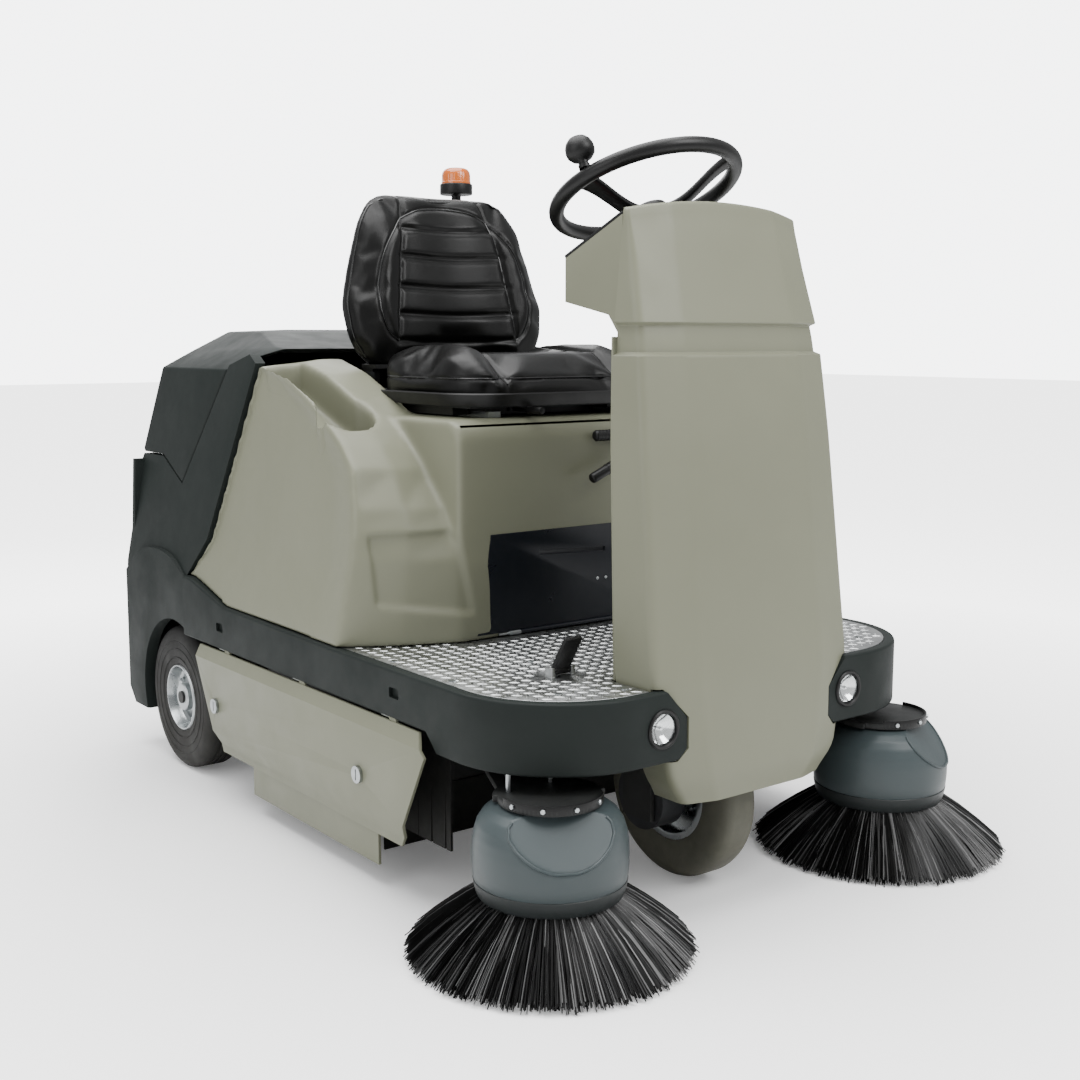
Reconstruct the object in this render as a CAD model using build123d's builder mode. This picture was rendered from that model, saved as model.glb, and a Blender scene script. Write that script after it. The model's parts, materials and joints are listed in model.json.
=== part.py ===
"""Ride-on sweeper with two side brushes, a main broom and a rear hopper.

Millimetres.  The front faces -Y, the driver's right hand is -X and +Z is up.
The origin is on the floor, under the middle of the machine.
"""
from build123d import *
from math import cos, radians, sin, tan
import os

os.makedirs("parts", exist_ok=True)

# Fits and gaps
running = 0.05          # radial clearance of a pin or shaft that turns
seat_gap = 0.3          # gap under a moving piece that rests on another
trim_gap = 3.0          # visible gap between two covers
sides = (("right", -1), ("left", 1))

# Deck, bumper and rails
body_half = 530.0       # outer face of the bumper
front_y = -795.0        # front face of the bumper
band_wall = 22.0
band_bottom = 316.0
band_flank_bottom = 350.0
band_rear_y = 600.0
deck_z = 445.0
plate_t = 4.0
corner_r = 230.0
rail_w = 38.0
rail_h = 80.0
rail_in = 262.0         # inner face of each rail
rail_rear = 440.0
plate_rear = 399.5       # rear edge of the tread plate
beam_y = 40.0           # width of the rear cross beam along Y
side_plate_x = 385.0
side_plate_t = 8.0
plate_rear_y = 972.0
tail_y = 980.0          # rearmost face
shelf_z = 640.0
skin = 6.0              # wall of the large covers

rail_top = deck_z - plate_t
rail_bottom = rail_top - rail_h
rail_out = rail_in + rail_w
band_in = body_half - band_wall
side_plate_out = side_plate_x + side_plate_t

# Front wheel and steering
steer_y = -583.0
front_r = 175.0
front_tyre_w = 84.0
front_rim_r = 100.0
spindle_r = 25.0
axle_r = 12.0
leg_t = 10.0
leg_out = 118.0         # outer face of the fork leg beside the motor
leg_far = 60.0          # outer face of the other leg
motor_r = 65.0
steer_tilt = 23.5       # degrees that the wheel's axis leans back
wheel_c = (0.0, -458.0, 1341.0)
wheel_r = 179.0
rim_tube_r = 15.0
shaft_r = 12.5
joint_drop = 313.0      # from the wheel's centre down to the shaft joint
dash_drop = 132.5       # from the wheel's centre down to the dash plane

# Rear wheels
rear_y = 680.0
rear_r = 177.0
rear_rim_r = 82.0
rear_in = 413.0
rear_tyre_w = 100.0
stub_r = 15.0
arch_r = 195.0

# Side brushes
brush_x = 437.0
brush_y = -722.0
brush_r = 258.0
hood_r = 135.0
hood_z = 105.0
arm_z = 271.0
arm_t = 12.0
arm_pivot_y = -395.0
arm_pin_r = 6.0
disc_r = 118.0
disc_z = 118.0
disc_t = 22.0

# Main broom and hopper
broom_y = 70.0
broom_z = 152.0
broom_r = 148.0
broom_half = 415.0
core_r = 45.0
housing_half = 440.0
lift_y = 290.0
lift_z = 300.0
lift_bar_r = 12.0
hopper_front = 446.0
hopper_half = 360.0
hopper_z = 125.0
flange_z = 566.0

# Body, seat and hood
pedestal_half = 300.0
pedestal_front = -240.0
pedestal_rear = 330.0
seat_deck = 895.0
flank_x = 524.0         # side panel's foot, at deck height
flank_lean = 0.139      # how far the side panel leans in for each unit of rise
hinge_y = 948.0         # hood hinge
hinge_z = 762.0
knuckle_r = 7.0
skirt_hinge_x = 524.0
skirt_hinge_z = 353.0
cushion_half = 255.0
recline_y = 235.0
recline_z = 960.0
beacon_x = 182.0
beacon_y = 470.0
beacon_z = 1416.0       # underside of the beacon's base
beacon_base_t = 27.0

steer_dir = (0.0, sin(radians(steer_tilt)), cos(radians(steer_tilt)))
dash_down = (0.0, cos(radians(steer_tilt)), -sin(radians(steer_tilt)))


def save(piece, name):
    """Label a finished piece and write it out."""
    piece.part.label = name
    export_step(piece.part, f"parts/{name}.step")


def block(low, high, mode=Mode.ADD):
    """A box between two corners."""
    size = [b - a for a, b in zip(low, high)]
    with Locations(tuple(low)):
        Box(*size, align=(Align.MIN, Align.MIN, Align.MIN), mode=mode)


def side_block(side, x, y, z, mode=Mode.ADD):
    """A box given by its x, y and z ranges, on the side with sign side."""
    low_x, high_x = sorted((side * x[0], side * x[1]))
    block((low_x, y[0], z[0]), (high_x, y[1], z[1]), mode)


def rod(start, direction, radius, length, mode=Mode.ADD):
    """A round bar from start along direction."""
    with Locations(Plane(origin=start, z_dir=direction)):
        Cylinder(radius, length, align=(Align.CENTER, Align.CENTER, Align.MIN), mode=mode)


def side_rod(side, x, y, z, radius, mode=Mode.ADD):
    """A round bar along X between two x stations on one side."""
    rod((side * x[0], y, z), (side, 0, 0), radius, x[1] - x[0], mode)


def side_prism(points, x_from, x_to, mode=Mode.ADD):
    """An outline drawn in the YZ plane, between two x stations."""
    low, high = sorted((x_from, x_to))
    with BuildSketch(Plane.YZ.offset(low)) as outline:
        Polygon(*points, align=None)
    extrude(outline.sketch, amount=high - low, mode=mode)


def front_prism(points, y_from, y_to, mode=Mode.ADD):
    """An outline drawn in the XZ plane, between two y stations."""
    with BuildSketch(Plane.XZ.offset(-y_to)) as outline:
        Polygon(*points, align=None)
    extrude(outline.sketch, amount=y_to - y_from, mode=mode)


def plan_prism(points, z_from, z_to, mode=Mode.ADD):
    """An outline drawn in the XY plane, between two heights."""
    with BuildSketch(Plane.XY.offset(z_from)) as outline:
        Polygon(*points, align=None)
    extrude(outline.sketch, amount=z_to - z_from, mode=mode)


def along(start, direction, distance):
    """The point at a distance from start."""
    return tuple(a + b * distance for a, b in zip(start, direction))


def flank_at(z, inset=0.0):
    """Half width of the leaning side panel at a height."""
    return flank_x - flank_lean * (z - deck_z) - inset


# ---- chassis ----
posts_y = (-705.0, -680.0)
post_x = (150.0, 180.0)
post_top = 1060.0
head_front = -640.0     # front face of the column's head
outrigger_w = 30.0
outriggers = (arm_pivot_y, -45.0, 345.0)
gearbox_top = 520.0
hub_rim_r = 38.0        # flange of the steering shaft and collar of the fork
hub_foot = 392.0
ear_x = (312.0, 324.5, 385.5, 398.0)
ear_h = 14.0
arm_pivot_z = arm_z + arm_t / 2
runner_z = flange_z - seat_gap
tail_panel_top = 752.0
knuckle_x = (180.0, 210.0, 240.0)
pin_r = 4.0
jack_y = -280.0
jack_r = 18.0
jack_h = 12.0
tube_r = 28.0
fan_y = 600.0

with BuildPart() as chassis_frame:
    block((-rail_in, -670, 400), (rail_in, -440, 412))
    block((-232, -730, 400), (232, -670, 412))
    rod((0, steer_y, hub_foot), (0, 0, 1), 40, 58)
    rod((0, steer_y, 450), (0, 0, 1), 60, gearbox_top - 450)
    rod((0, steer_y, hub_foot), (0, 0, 1), spindle_r + running, 84, Mode.SUBTRACT)
    rod((0, steer_y, 476), (0, 0, 1), 46, 32, Mode.SUBTRACT)
    rod((0, steer_y, 500), (0, 0, 1), shaft_r + running, 40, Mode.SUBTRACT)
    block((-post_x[1], posts_y[0] + 8, post_top), (post_x[1], posts_y[1], post_top + 30))
    block((-side_plate_out, rail_rear - beam_y, rail_bottom), (side_plate_out, rail_rear, rail_top))
    block((-side_plate_out, rail_rear, shelf_z), (side_plate_out, 925, shelf_z + skin))
    block((-side_plate_out, 934, shelf_z - 30), (side_plate_out, 940, tail_panel_top))
    block((-side_plate_out, 925, shelf_z - 30), (side_plate_out, 934, shelf_z + skin))
    rod((0, fan_y, shelf_z), (0, 0, 1), 70, skin, Mode.SUBTRACT)
    for name, side in sides:
        side_block(side, (rail_in, rail_out), (front_y + band_wall, rail_rear), (rail_bottom, rail_top))
        side_block(side, post_x, posts_y, (412, post_top))
        side_block(side, post_x, (posts_y[1], head_front), (post_top + 6, post_top + 30))
        for y in outriggers:
            span = (y - outrigger_w / 2, y + outrigger_w / 2)
            side_block(side, (rail_out, band_in), span, (rail_top - 56, rail_top))
        # side plate that carries the rear wheel and the hopper
        side_plate = [(400, rail_bottom), (400, shelf_z), (plate_rear_y, shelf_z),
                      (plate_rear_y, 300), (760, 130), (600, 130), (470, rail_bottom)]
        side_prism(side_plate, side * side_plate_x, side * side_plate_out)
        side_rod(side, (side_plate_out, 511), rear_y, rear_r, stub_r)
        side_block(side, (365, side_plate_x), (hopper_front, 930), (runner_z - 6, runner_z))
        # ears and pin of the side brush arm
        for x in (ear_x[:2], ear_x[2:]):
            side_block(side, x, (arm_pivot_y - ear_h, arm_pivot_y + ear_h),
                       (arm_pivot_z - ear_h, rail_top - 56))
        side_rod(side, (ear_x[0], ear_x[3]), arm_pivot_y, arm_pivot_z, arm_pin_r)
        rod((side * (rail_in + rail_w / 2), jack_y, rail_bottom - jack_h), (0, 0, 1), jack_r, jack_h)
        # fixed half of the hood hinge
        side_block(side, knuckle_x[:2], (934, hinge_y), (hinge_z - 22, hinge_z))
        side_rod(side, knuckle_x[:2], hinge_y, hinge_z, knuckle_r)
        side_rod(side, knuckle_x[1:], hinge_y, hinge_z, pin_r)
save(chassis_frame, "chassis_frame")

# ---- tread plate, with the pedal ears ----
pedal_x = 305.0
pedal_w = 38.0
pedal_y = -580.0
pedal_z = 455.0
pedal_pin_r = 4.0
plate_edge = band_in - 0.5
plate_front = front_y + band_wall + 0.5
plate_corner = corner_r - band_wall - 0.5
corner_c = (body_half - corner_r, front_y + corner_r)
column_gap = 4.0
column_foot = 254.0

with BuildPart() as platform_plate:
    with BuildSketch(Plane.XY.offset(rail_top)):
        with Locations((0, (plate_front + plate_rear) / 2)):
            Rectangle(2 * plate_edge, plate_rear - plate_front)
    extrude(amount=plate_t)
    front_corners = platform_plate.edges().filter_by(Axis.Z).group_by(Axis.Y)[0]
    fillet(front_corners, radius=plate_corner)
    notch = column_foot + column_gap
    block((-notch, -790, rail_top), (notch, -668, deck_z), Mode.SUBTRACT)
    block((-99, -668, rail_top), (99, -508, deck_z), Mode.SUBTRACT)
    for name, side in sides:
        ears = ((pedal_x - pedal_w / 2 - 8.5, pedal_x - pedal_w / 2 - 0.5),
                (pedal_x + pedal_w / 2 + 0.5, pedal_x + pedal_w / 2 + 8.5))
        for x in ears:
            side_block(side, x, (pedal_y - 10, pedal_y + 10), (deck_z, pedal_z + 7))
        side_rod(side, (ears[0][0], ears[1][1]), pedal_y, pedal_z, pedal_pin_r)
save(platform_plate, "platform_plate")

# ---- bumper band ----
light_x = 243.0
light_z = 379.0
light_r = 33.0
band_end = 187.0
skirt_front = -449.0
band_step_y = -487.0    # where the band's lower edge steps up over the skirt
skirt_hinges = (-340.0, 20.0, 380.0)
skirt_knuckle = 25.0
skirt_knuckle_r = 5.0
skirt_pin_r = 2.5
rebate = (516.0, 362.0)     # inner side and top of the groove for the skirt hinge
slot_ys = (-363.0, 398.0)
slot_w = 34.0
slot_z = (391.0, 411.0)
slot_depth = 8.0
light_rim = 4.0         # how far a headlight's ring stands out

with BuildPart() as front_bumper:
    for name, side in sides:
        with BuildSketch(Plane.XY.offset(band_bottom)):
            with BuildLine():
                outer = Line((side * band_end, front_y), (side * corner_c[0], front_y))
                bend = RadiusArc(outer @ 1, (side * body_half, corner_c[1]), side * -corner_r)
                Line(bend @ 1, (side * body_half, band_step_y))
                Line((side * body_half, band_step_y), (side * band_in, band_step_y))
                Line((side * band_in, band_step_y), (side * band_in, corner_c[1]))
                inner = RadiusArc((side * band_in, corner_c[1]),
                                  (side * corner_c[0], front_y + band_wall),
                                  side * (corner_r - band_wall))
                Line(inner @ 1, (side * band_end, front_y + band_wall))
                Line((side * band_end, front_y + band_wall), outer @ 0)
            make_face()
        extrude(amount=deck_z - band_bottom)
        flank = [(band_step_y, band_flank_bottom), (band_rear_y, band_flank_bottom),
                 (band_rear_y, deck_z + 50), (560, deck_z + 50), (380, deck_z + 7),
                 (-140, deck_z), (band_step_y, deck_z)]
        side_prism(flank, side * band_in, side * body_half)
        side_block(side, (rebate[0], body_half + 1), (band_step_y, 512),
                   (band_flank_bottom - 1, rebate[1]), Mode.SUBTRACT)
        # cut corners of the band's end beside the column
        top_cut = [(side * (band_end - 1), 391), (side * (band_end + 48), deck_z + 1),
                   (side * (band_end - 1), deck_z + 1)]
        low_cut = [(side * (band_end - 1), 336), (side * (band_end + 20), band_bottom - 1),
                   (side * (band_end - 1), band_bottom - 1)]
        front_prism(top_cut, front_y - 1, front_y + band_wall + 1, Mode.SUBTRACT)
        front_prism(low_cut, front_y - 1, front_y + band_wall + 1, Mode.SUBTRACT)
        rod((side * light_x, front_y - 1, light_z), (0, 1, 0), light_r + 0.2, 40, Mode.SUBTRACT)
        for y in slot_ys:
            side_block(side, (body_half - slot_depth, body_half + 1),
                       (y - slot_w / 2, y + slot_w / 2), slot_z, Mode.SUBTRACT)
        for y in skirt_hinges:
            side_block(side, (rebate[0] - 2, skirt_hinge_x), (y, y + skirt_knuckle),
                       (skirt_hinge_z, skirt_hinge_z + 4))
            rod((side * skirt_hinge_x, y, skirt_hinge_z), (0, 1, 0), skirt_knuckle_r, skirt_knuckle)
            rod((side * skirt_hinge_x, y - skirt_knuckle, skirt_hinge_z), (0, 1, 0),
                skirt_pin_r, skirt_knuckle)
save(front_bumper, "front_bumper")

with BuildPart() as headlight_housings:
    for name, side in sides:
        rod((side * light_x, front_y - light_rim, light_z), (0, 1, 0), light_r + 3, light_rim)
        rod((side * light_x, front_y, light_z), (0, 1, 0), light_r, band_wall - 0.5)
        rod((side * light_x, front_y - light_rim, light_z), (0, 1, 0), light_r - 5, 20, Mode.SUBTRACT)
save(headlight_housings, "headlight_housings")

with BuildPart() as headlight_lenses:
    for name, side in sides:
        rod((side * light_x, front_y - 2, light_z), (0, 1, 0), light_r - 5.2, 6)
save(headlight_lenses, "headlight_lenses")

# ---- column ----
head_foot = 1061.0      # lower edge of the column's head
column_top = 1281.0
crown = 20.0            # how far the front bulges past its edges
crown_share = 0.55      # where the bulge begins, as a share of the half width
# height, half width, front face at the edge, rim at the back
column_sections = [(225, 173, -778, -700), (262, 214, -790, -720),
                   (deck_z, column_foot, -782, -675), (876, 243, -733, -650),
                   (head_foot, 234, -709, head_front), (column_top, 212, -650, head_front)]
rear_wall = 5.0
head_half = 215.0
head_back = -478.0
head_knee = -603.0      # where the underside of the head turns
head_back_foot = 1125.0
spine_half = 95.0
spine_back = -512.0
dash_c = along(wheel_c, steer_dir, -dash_drop)


def column_outline(section, inset, reach):
    """Plan outline of the column shell at one height."""
    z, half, edge_y, rim_y = section
    half = half - inset
    flat = half * crown_share
    front = edge_y - crown + inset
    return [(-half, rim_y + reach), (-half, edge_y + inset), (-flat, front),
            (flat, front), (half, edge_y + inset), (half, rim_y + reach)]


def column_solid(sections, inset, reach, mode=Mode.ADD):
    """Ruled solid through the column's sections."""
    faces = []
    for section in sections:
        with BuildSketch(Plane.XY.offset(section[0])) as cut:
            Polygon(*column_outline(section, inset, reach), align=None)
        faces.append(cut.sketch.face())
    loft(faces, ruled=True, mode=mode)


def dash_z(y):
    """Height of the dash plane at a y station."""
    return dash_c[2] - (y - dash_c[1]) * tan(radians(steer_tilt))


low_section = (224.0,) + column_sections[0][1:]
top_section = (column_top - skin, 213.0, -652.0, head_front)
with BuildPart() as column_front_cover:
    column_solid(column_sections, 0, 0)
    column_solid([low_section] + column_sections[1:-1] + [top_section], skin, 30, Mode.SUBTRACT)
    for name, side in sides:
        side_block(side, (band_end - trim_gap, 300), (-840, front_y + band_wall + trim_gap),
                   (band_bottom - trim_gap, deck_z + trim_gap), Mode.SUBTRACT)
save(column_front_cover, "column_front_cover")

with BuildPart() as column_rear_cover:
    plate_sections = [s for s in column_sections if deck_z <= s[0] <= head_foot]
    faces = []
    for z, half, edge_y, rim_y in plate_sections:
        with BuildSketch(Plane.XY.offset(z)) as cut:
            Polygon((-half, rim_y), (half, rim_y), (half, rim_y + rear_wall),
                    (-half, rim_y + rear_wall), align=None)
        faces.append(cut.sketch.face())
    loft(faces, ruled=True)
    block((-spine_half, -645, deck_z), (spine_half, spine_back, 1115))
    head = [(head_front, head_foot), (head_front + rear_wall, head_foot), (head_knee, 1100),
            (head_back, head_back_foot), (head_back, dash_z(head_back)),
            (head_front, dash_z(head_front))]
    side_prism(head, -head_half, head_half)
    inner = [(head_front + skin, 1080), (head_knee, 1100 + skin),
             (head_back - skin, head_back_foot + skin), (head_back - skin, 1300),
             (head_front + skin, 1300)]
    side_prism(inner, skin - head_half, head_half - skin, Mode.SUBTRACT)
    block((skin - spine_half, -680, deck_z - 1), (spine_half - skin, spine_back - skin, 1140), Mode.SUBTRACT)
save(column_rear_cover, "column_rear_cover")

# ---- dash panel with the steering tube ----
panel_t = 6.0
tube_rise = 60.0        # steering tube above the panel
dash_frame = Plane(origin=dash_c, x_dir=(1, 0, 0), z_dir=steer_dir)
panel_front = (head_front - dash_c[1]) / cos(radians(steer_tilt))
panel_back = (head_back - dash_c[1]) / cos(radians(steer_tilt))
button_x = 130.0
button_v = -15.0        # just ahead of the tube, along the panel
stop_r = 8.0
key_r = 7.0

with BuildPart() as dash_panel:
    with BuildSketch(dash_frame):
        with Locations((0, (panel_front + panel_back) / 2)):
            Rectangle(2 * head_half, panel_back - panel_front)
    extrude(amount=panel_t)
    with BuildSketch(dash_frame.offset(-50)):
        Circle(tube_r)
    extrude(amount=50 + tube_rise)
    with BuildSketch(dash_frame.offset(-51)):
        Circle(shaft_r + running)
        with Locations((-button_x, button_v)):
            Circle(stop_r + running)
        with Locations((button_x, button_v)):
            Circle(key_r + running)
    extrude(amount=200, mode=Mode.SUBTRACT)
save(dash_panel, "dash_panel")

with BuildPart() as emergency_stop:
    with BuildSketch(dash_frame.offset(-8)):
        with Locations((-button_x, button_v)):
            Circle(stop_r)
    extrude(amount=8 + panel_t + 7)
    with BuildSketch(dash_frame.offset(panel_t + 7)):
        with Locations((-button_x, button_v)):
            Circle(20)
    extrude(amount=14)
    fillet(emergency_stop.faces().sort_by(Axis((0, 0, 0), steer_dir))[-1].edges(), radius=4)
save(emergency_stop, "emergency_stop")

with BuildPart() as ignition_key:
    with BuildSketch(dash_frame.offset(-8)):
        with Locations((button_x, button_v)):
            Circle(key_r)
    extrude(amount=8 + panel_t + 4)
    with BuildSketch(dash_frame.offset(panel_t + 4)):
        with Locations((button_x, button_v)):
            Rectangle(4, 24)
    extrude(amount=26)
save(ignition_key, "ignition_key")

# ---- steering wheel, shafts and knob ----
joint_c = along(wheel_c, steer_dir, -joint_drop)
ball_r = 14.0
socket_gap = 0.8        # clearance of the ball in its socket
socket_r = 20.0
socket_lip = 3.0        # how far the socket reaches past the ball's centre
wheel_frame = Plane(origin=wheel_c, x_dir=(1, 0, 0), z_dir=steer_dir)
spoke_angles = (67.0, 187.0, 307.0)
hub_r = 34.0
hub_drop = 50.0         # the hub sits below the rim
spoke_w = 30.0
spoke_t = 13.0
knob_angle = 192.0
knob_h = 52.0

with BuildPart() as steering_wheel:
    with Locations(wheel_frame):
        Torus(wheel_r, rim_tube_r)
    rod(along(wheel_c, steer_dir, -hub_drop - 18), steer_dir, hub_r, 36)
    rod(along(wheel_c, steer_dir, -hub_drop), tuple(-c for c in steer_dir), shaft_r,
        joint_drop - hub_drop - 8)
    rod(along(joint_c, steer_dir, socket_lip), steer_dir, socket_r, 18)
    for angle in spoke_angles:
        outward = wheel_frame.x_dir * cos(radians(angle)) + wheel_frame.y_dir * sin(radians(angle))
        inner_end = Vector(*along(wheel_c, steer_dir, -hub_drop)) + outward * (hub_r - 6)
        outer_end = Vector(*wheel_c) + outward * wheel_r
        run = outer_end - inner_end
        with Locations(Plane(origin=inner_end, x_dir=outward.cross(Vector(*steer_dir)), z_dir=run)):
            Box(spoke_w, spoke_t, run.length, align=(Align.CENTER, Align.CENTER, Align.MIN))
    with Locations(joint_c):
        Sphere(ball_r + socket_gap, mode=Mode.SUBTRACT)
save(steering_wheel, "steering_wheel")

rim_dir = wheel_frame.x_dir * cos(radians(knob_angle)) + wheel_frame.y_dir * sin(radians(knob_angle))
knob_c = along(wheel_c, tuple(rim_dir), wheel_r)
with BuildPart() as steering_knob:
    rod(along(knob_c, steer_dir, rim_tube_r + seat_gap), steer_dir, 11, 18)
    with Locations(along(knob_c, steer_dir, knob_h)):
        Sphere(28)
save(steering_knob, "steering_knob")

shaft_foot = 496.0
flange_t = 12.0
neck_r = 9.0
with BuildPart() as steering_shaft_lower:
    rod((0, steer_y, shaft_foot), (0, 0, 1), shaft_r, joint_c[2] - shaft_foot - ball_r)
    rod((0, steer_y, shaft_foot), (0, 0, 1), neck_r, joint_c[2] - shaft_foot)
    rod((0, steer_y, shaft_foot - flange_t), (0, 0, 1), hub_rim_r, flange_t)
    with Locations(joint_c):
        Sphere(ball_r)
save(steering_shaft_lower, "steering_shaft_lower")

# ---- front fork, motor and wheel ----
with BuildPart() as front_fork:
    rod((0, steer_y, 372), (0, 0, 1), 128, 14)
    rod((0, steer_y, 386), (0, 0, 1), hub_rim_r, hub_foot - 386 - seat_gap)
    rod((0, steer_y, 386), (0, 0, 1), spindle_r, 88)
    block((-leg_out, steer_y - 40, front_r - 40), (leg_t - leg_out, steer_y + 40, 372))
    block((leg_far - leg_t, steer_y - 40, front_r - 40), (leg_far, steer_y + 40, 372))
    rod((leg_t - leg_out, steer_y, front_r), (1, 0, 0), axle_r, leg_out + leg_far - 2 * leg_t)
save(front_fork, "front_fork")

with BuildPart() as drive_motor:
    rod((leg_t - leg_out, steer_y, front_r), (1, 0, 0), motor_r, 58)
    rod((leg_t - leg_out, steer_y, front_r), (1, 0, 0), axle_r + 0.3, 58, Mode.SUBTRACT)
save(drive_motor, "drive_motor")

with BuildPart() as front_rim:
    rod((-front_tyre_w / 2 + 4, steer_y, front_r), (1, 0, 0), front_rim_r, front_tyre_w - 8)
    for start, way in ((-front_tyre_w / 2, 1), (front_tyre_w / 2, -1)):
        rod((start, steer_y, front_r), (way, 0, 0), front_rim_r - 14, 26, Mode.SUBTRACT)
    rod((-49, steer_y, front_r), (1, 0, 0), 30, 98)
    rod((-60, steer_y, front_r), (1, 0, 0), axle_r + running, 120, Mode.SUBTRACT)
save(front_rim, "front_rim")

with BuildPart() as front_tyre:
    rod((-front_tyre_w / 2, steer_y, front_r), (1, 0, 0), front_r, front_tyre_w)
    fillet(front_tyre.edges().filter_by(GeomType.CIRCLE), radius=14)
    rod((-front_tyre_w, steer_y, front_r), (1, 0, 0), front_rim_r + 0.1, 2 * front_tyre_w, Mode.SUBTRACT)
save(front_tyre, "front_tyre")

# ---- rear wheels ----
for name, side in sides:
    with BuildPart() as rear_rim:
        side_rod(side, (rear_in + 6, rear_in + rear_tyre_w - 8), rear_y, rear_r, rear_rim_r)
        side_rod(side, (rear_in + 60, rear_in + rear_tyre_w), rear_y, rear_r, rear_rim_r - 12, Mode.SUBTRACT)
        side_rod(side, (side_plate_out + 0.4, rear_in + rear_tyre_w - 6), rear_y, rear_r, 32)
        side_rod(side, (side_plate_x, rear_in + rear_tyre_w), rear_y, rear_r, stub_r + running, Mode.SUBTRACT)
    save(rear_rim, f"rear_rim_{name}")
    with BuildPart() as rear_tyre:
        side_rod(side, (rear_in, rear_in + rear_tyre_w), rear_y, rear_r, rear_r)
        fillet(rear_tyre.edges().filter_by(GeomType.CIRCLE), radius=16)
        side_rod(side, (rear_in - 10, rear_in + rear_tyre_w + 10), rear_y, rear_r,
                 rear_rim_r + 0.1, Mode.SUBTRACT)
    save(rear_tyre, f"rear_tyre_{name}")

# ---- side brushes ----
motor_bottom = 175.0
for name, side in sides:
    centre = (side * brush_x, brush_y)
    with BuildPart() as brush_arm:
        rod((*centre, arm_z), (0, 0, 1), 100, arm_t)
        arm = [(side * 325, arm_pivot_y), (side * 385, arm_pivot_y), (side * 385, arm_pivot_y - 20),
               (side * 510, -680), (side * 365, -680), (side * 325, arm_pivot_y - 20)]
        plan_prism(arm, arm_z, arm_z + arm_t)
        side_rod(side, (325, 385), arm_pivot_y, arm_pivot_z, ear_h - 2)
        side_rod(side, (320, 390), arm_pivot_y, arm_pivot_z, arm_pin_r + running, Mode.SUBTRACT)
        rod((*centre, motor_bottom), (0, 0, 1), 55, arm_z - motor_bottom)
        rod((*centre, disc_z), (0, 0, 1), shaft_r, motor_bottom - disc_z)
    save(brush_arm, f"brush_arm_{name}")

    with BuildPart() as brush_hood:
        with BuildSketch(Plane.XZ) as dome:
            with BuildLine():
                Line((0, arm_z), (100, arm_z))
                shoulder = ThreePointArc((100, arm_z), (125, 236), (hood_r, 185))
                Line(shoulder @ 1, (hood_r, hood_z))
                Line((hood_r, hood_z), (hood_r - skin, hood_z))
                Line((hood_r - skin, hood_z), (hood_r - skin, 185))
                under = ThreePointArc((hood_r - skin, 185), (119.5, 233), (97, arm_z - skin))
                Line(under @ 1, (57, arm_z - skin))
                Line((57, arm_z - skin), (57, arm_z - skin / 2))
                Line((57, arm_z - skin / 2), (0, arm_z - skin / 2))
                Line((0, arm_z - skin / 2), (0, arm_z))
            make_face()
        revolve(axis=Axis.Z)
        rod((0, 0, arm_z - skin), (0, 0, 1), 57, skin + 1, Mode.SUBTRACT)
    brush_hood.part = brush_hood.part.moved(Location((*centre, 0)))
    save(brush_hood, f"brush_hood_{name}")

    with BuildPart() as brush_disc:
        rod((*centre, disc_z), (0, 0, 1), disc_r, disc_t)
        rod((*centre, disc_z + disc_t), (0, 0, 1), 34, 12)
        rod((*centre, disc_z - 1), (0, 0, 1), shaft_r + running, disc_t + 20, Mode.SUBTRACT)
    save(brush_disc, f"brush_disc_{name}")

    with BuildPart() as brush_bristles:
        with BuildSketch(Plane.XZ):
            Polygon((80, disc_z), (disc_r - 2, disc_z), (124, 103), (195, 52), (brush_r, 6),
                    (brush_r - 14, 0.5), (150, 34), (98, 84), align=None)
        revolve(axis=Axis.Z)
    brush_bristles.part = brush_bristles.part.moved(Location((*centre, 0)))
    save(brush_bristles, f"brush_bristles_{name}")

# ---- main broom ----
housing_front = -150.0
housing_rear = 330.0
housing_top = rail_bottom
housing_foot = 75.0
wall = 6.0
with BuildPart() as broom_housing:
    block((-housing_half, housing_front, housing_top - wall), (housing_half, 430, housing_top))
    block((-housing_half, housing_front, 85), (housing_half, housing_front + wall, housing_top))
    block((-housing_half, housing_rear, 215), (housing_half, housing_rear + wall, housing_top))
    for name, side in sides:
        side_block(side, (housing_half - wall, housing_half), (housing_front, housing_rear + wall),
                   (housing_foot, housing_top))
        side_rod(side, (housing_half - 20, housing_half + 1), lift_y, lift_z,
                 lift_bar_r + running, Mode.SUBTRACT)
save(broom_housing, "broom_housing")

flap_t = 5.0
with BuildPart() as rubber_flaps:
    block((-430, housing_front - flap_t, 12), (430, housing_front, 125))
    for name, side in sides:
        side_block(side, (housing_half, housing_half + flap_t), (housing_front, housing_rear), (14, 120))
        side_block(side, (446, 446 + flap_t), (-432, -165), (95, rail_top - 56))
save(rubber_flaps, "rubber_flaps")

arm_x = (422.0, 430.0)
with BuildPart() as broom_lift_arms:
    rod((-housing_half, lift_y, lift_z), (1, 0, 0), lift_bar_r, 2 * housing_half)
    for name, side in sides:
        arm = [(lift_y + 12, lift_z - 20), (lift_y + 12, lift_z + 18), (lift_y - 14, lift_z + 20),
               (broom_y - 18, broom_z + 22), (broom_y - 22, broom_z - 20), (broom_y + 18, broom_z - 24)]
        side_prism(arm, side * arm_x[0], side * arm_x[1])
        side_rod(side, (arm_x[0] - 1, arm_x[1] + 1), broom_y, broom_z, 10 + running, Mode.SUBTRACT)
save(broom_lift_arms, "broom_lift_arms")

with BuildPart() as broom_core:
    rod((-418, broom_y, broom_z), (1, 0, 0), core_r, 836)
    rod((-arm_x[1], broom_y, broom_z), (1, 0, 0), 10, 2 * arm_x[1])
save(broom_core, "broom_core")

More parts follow.
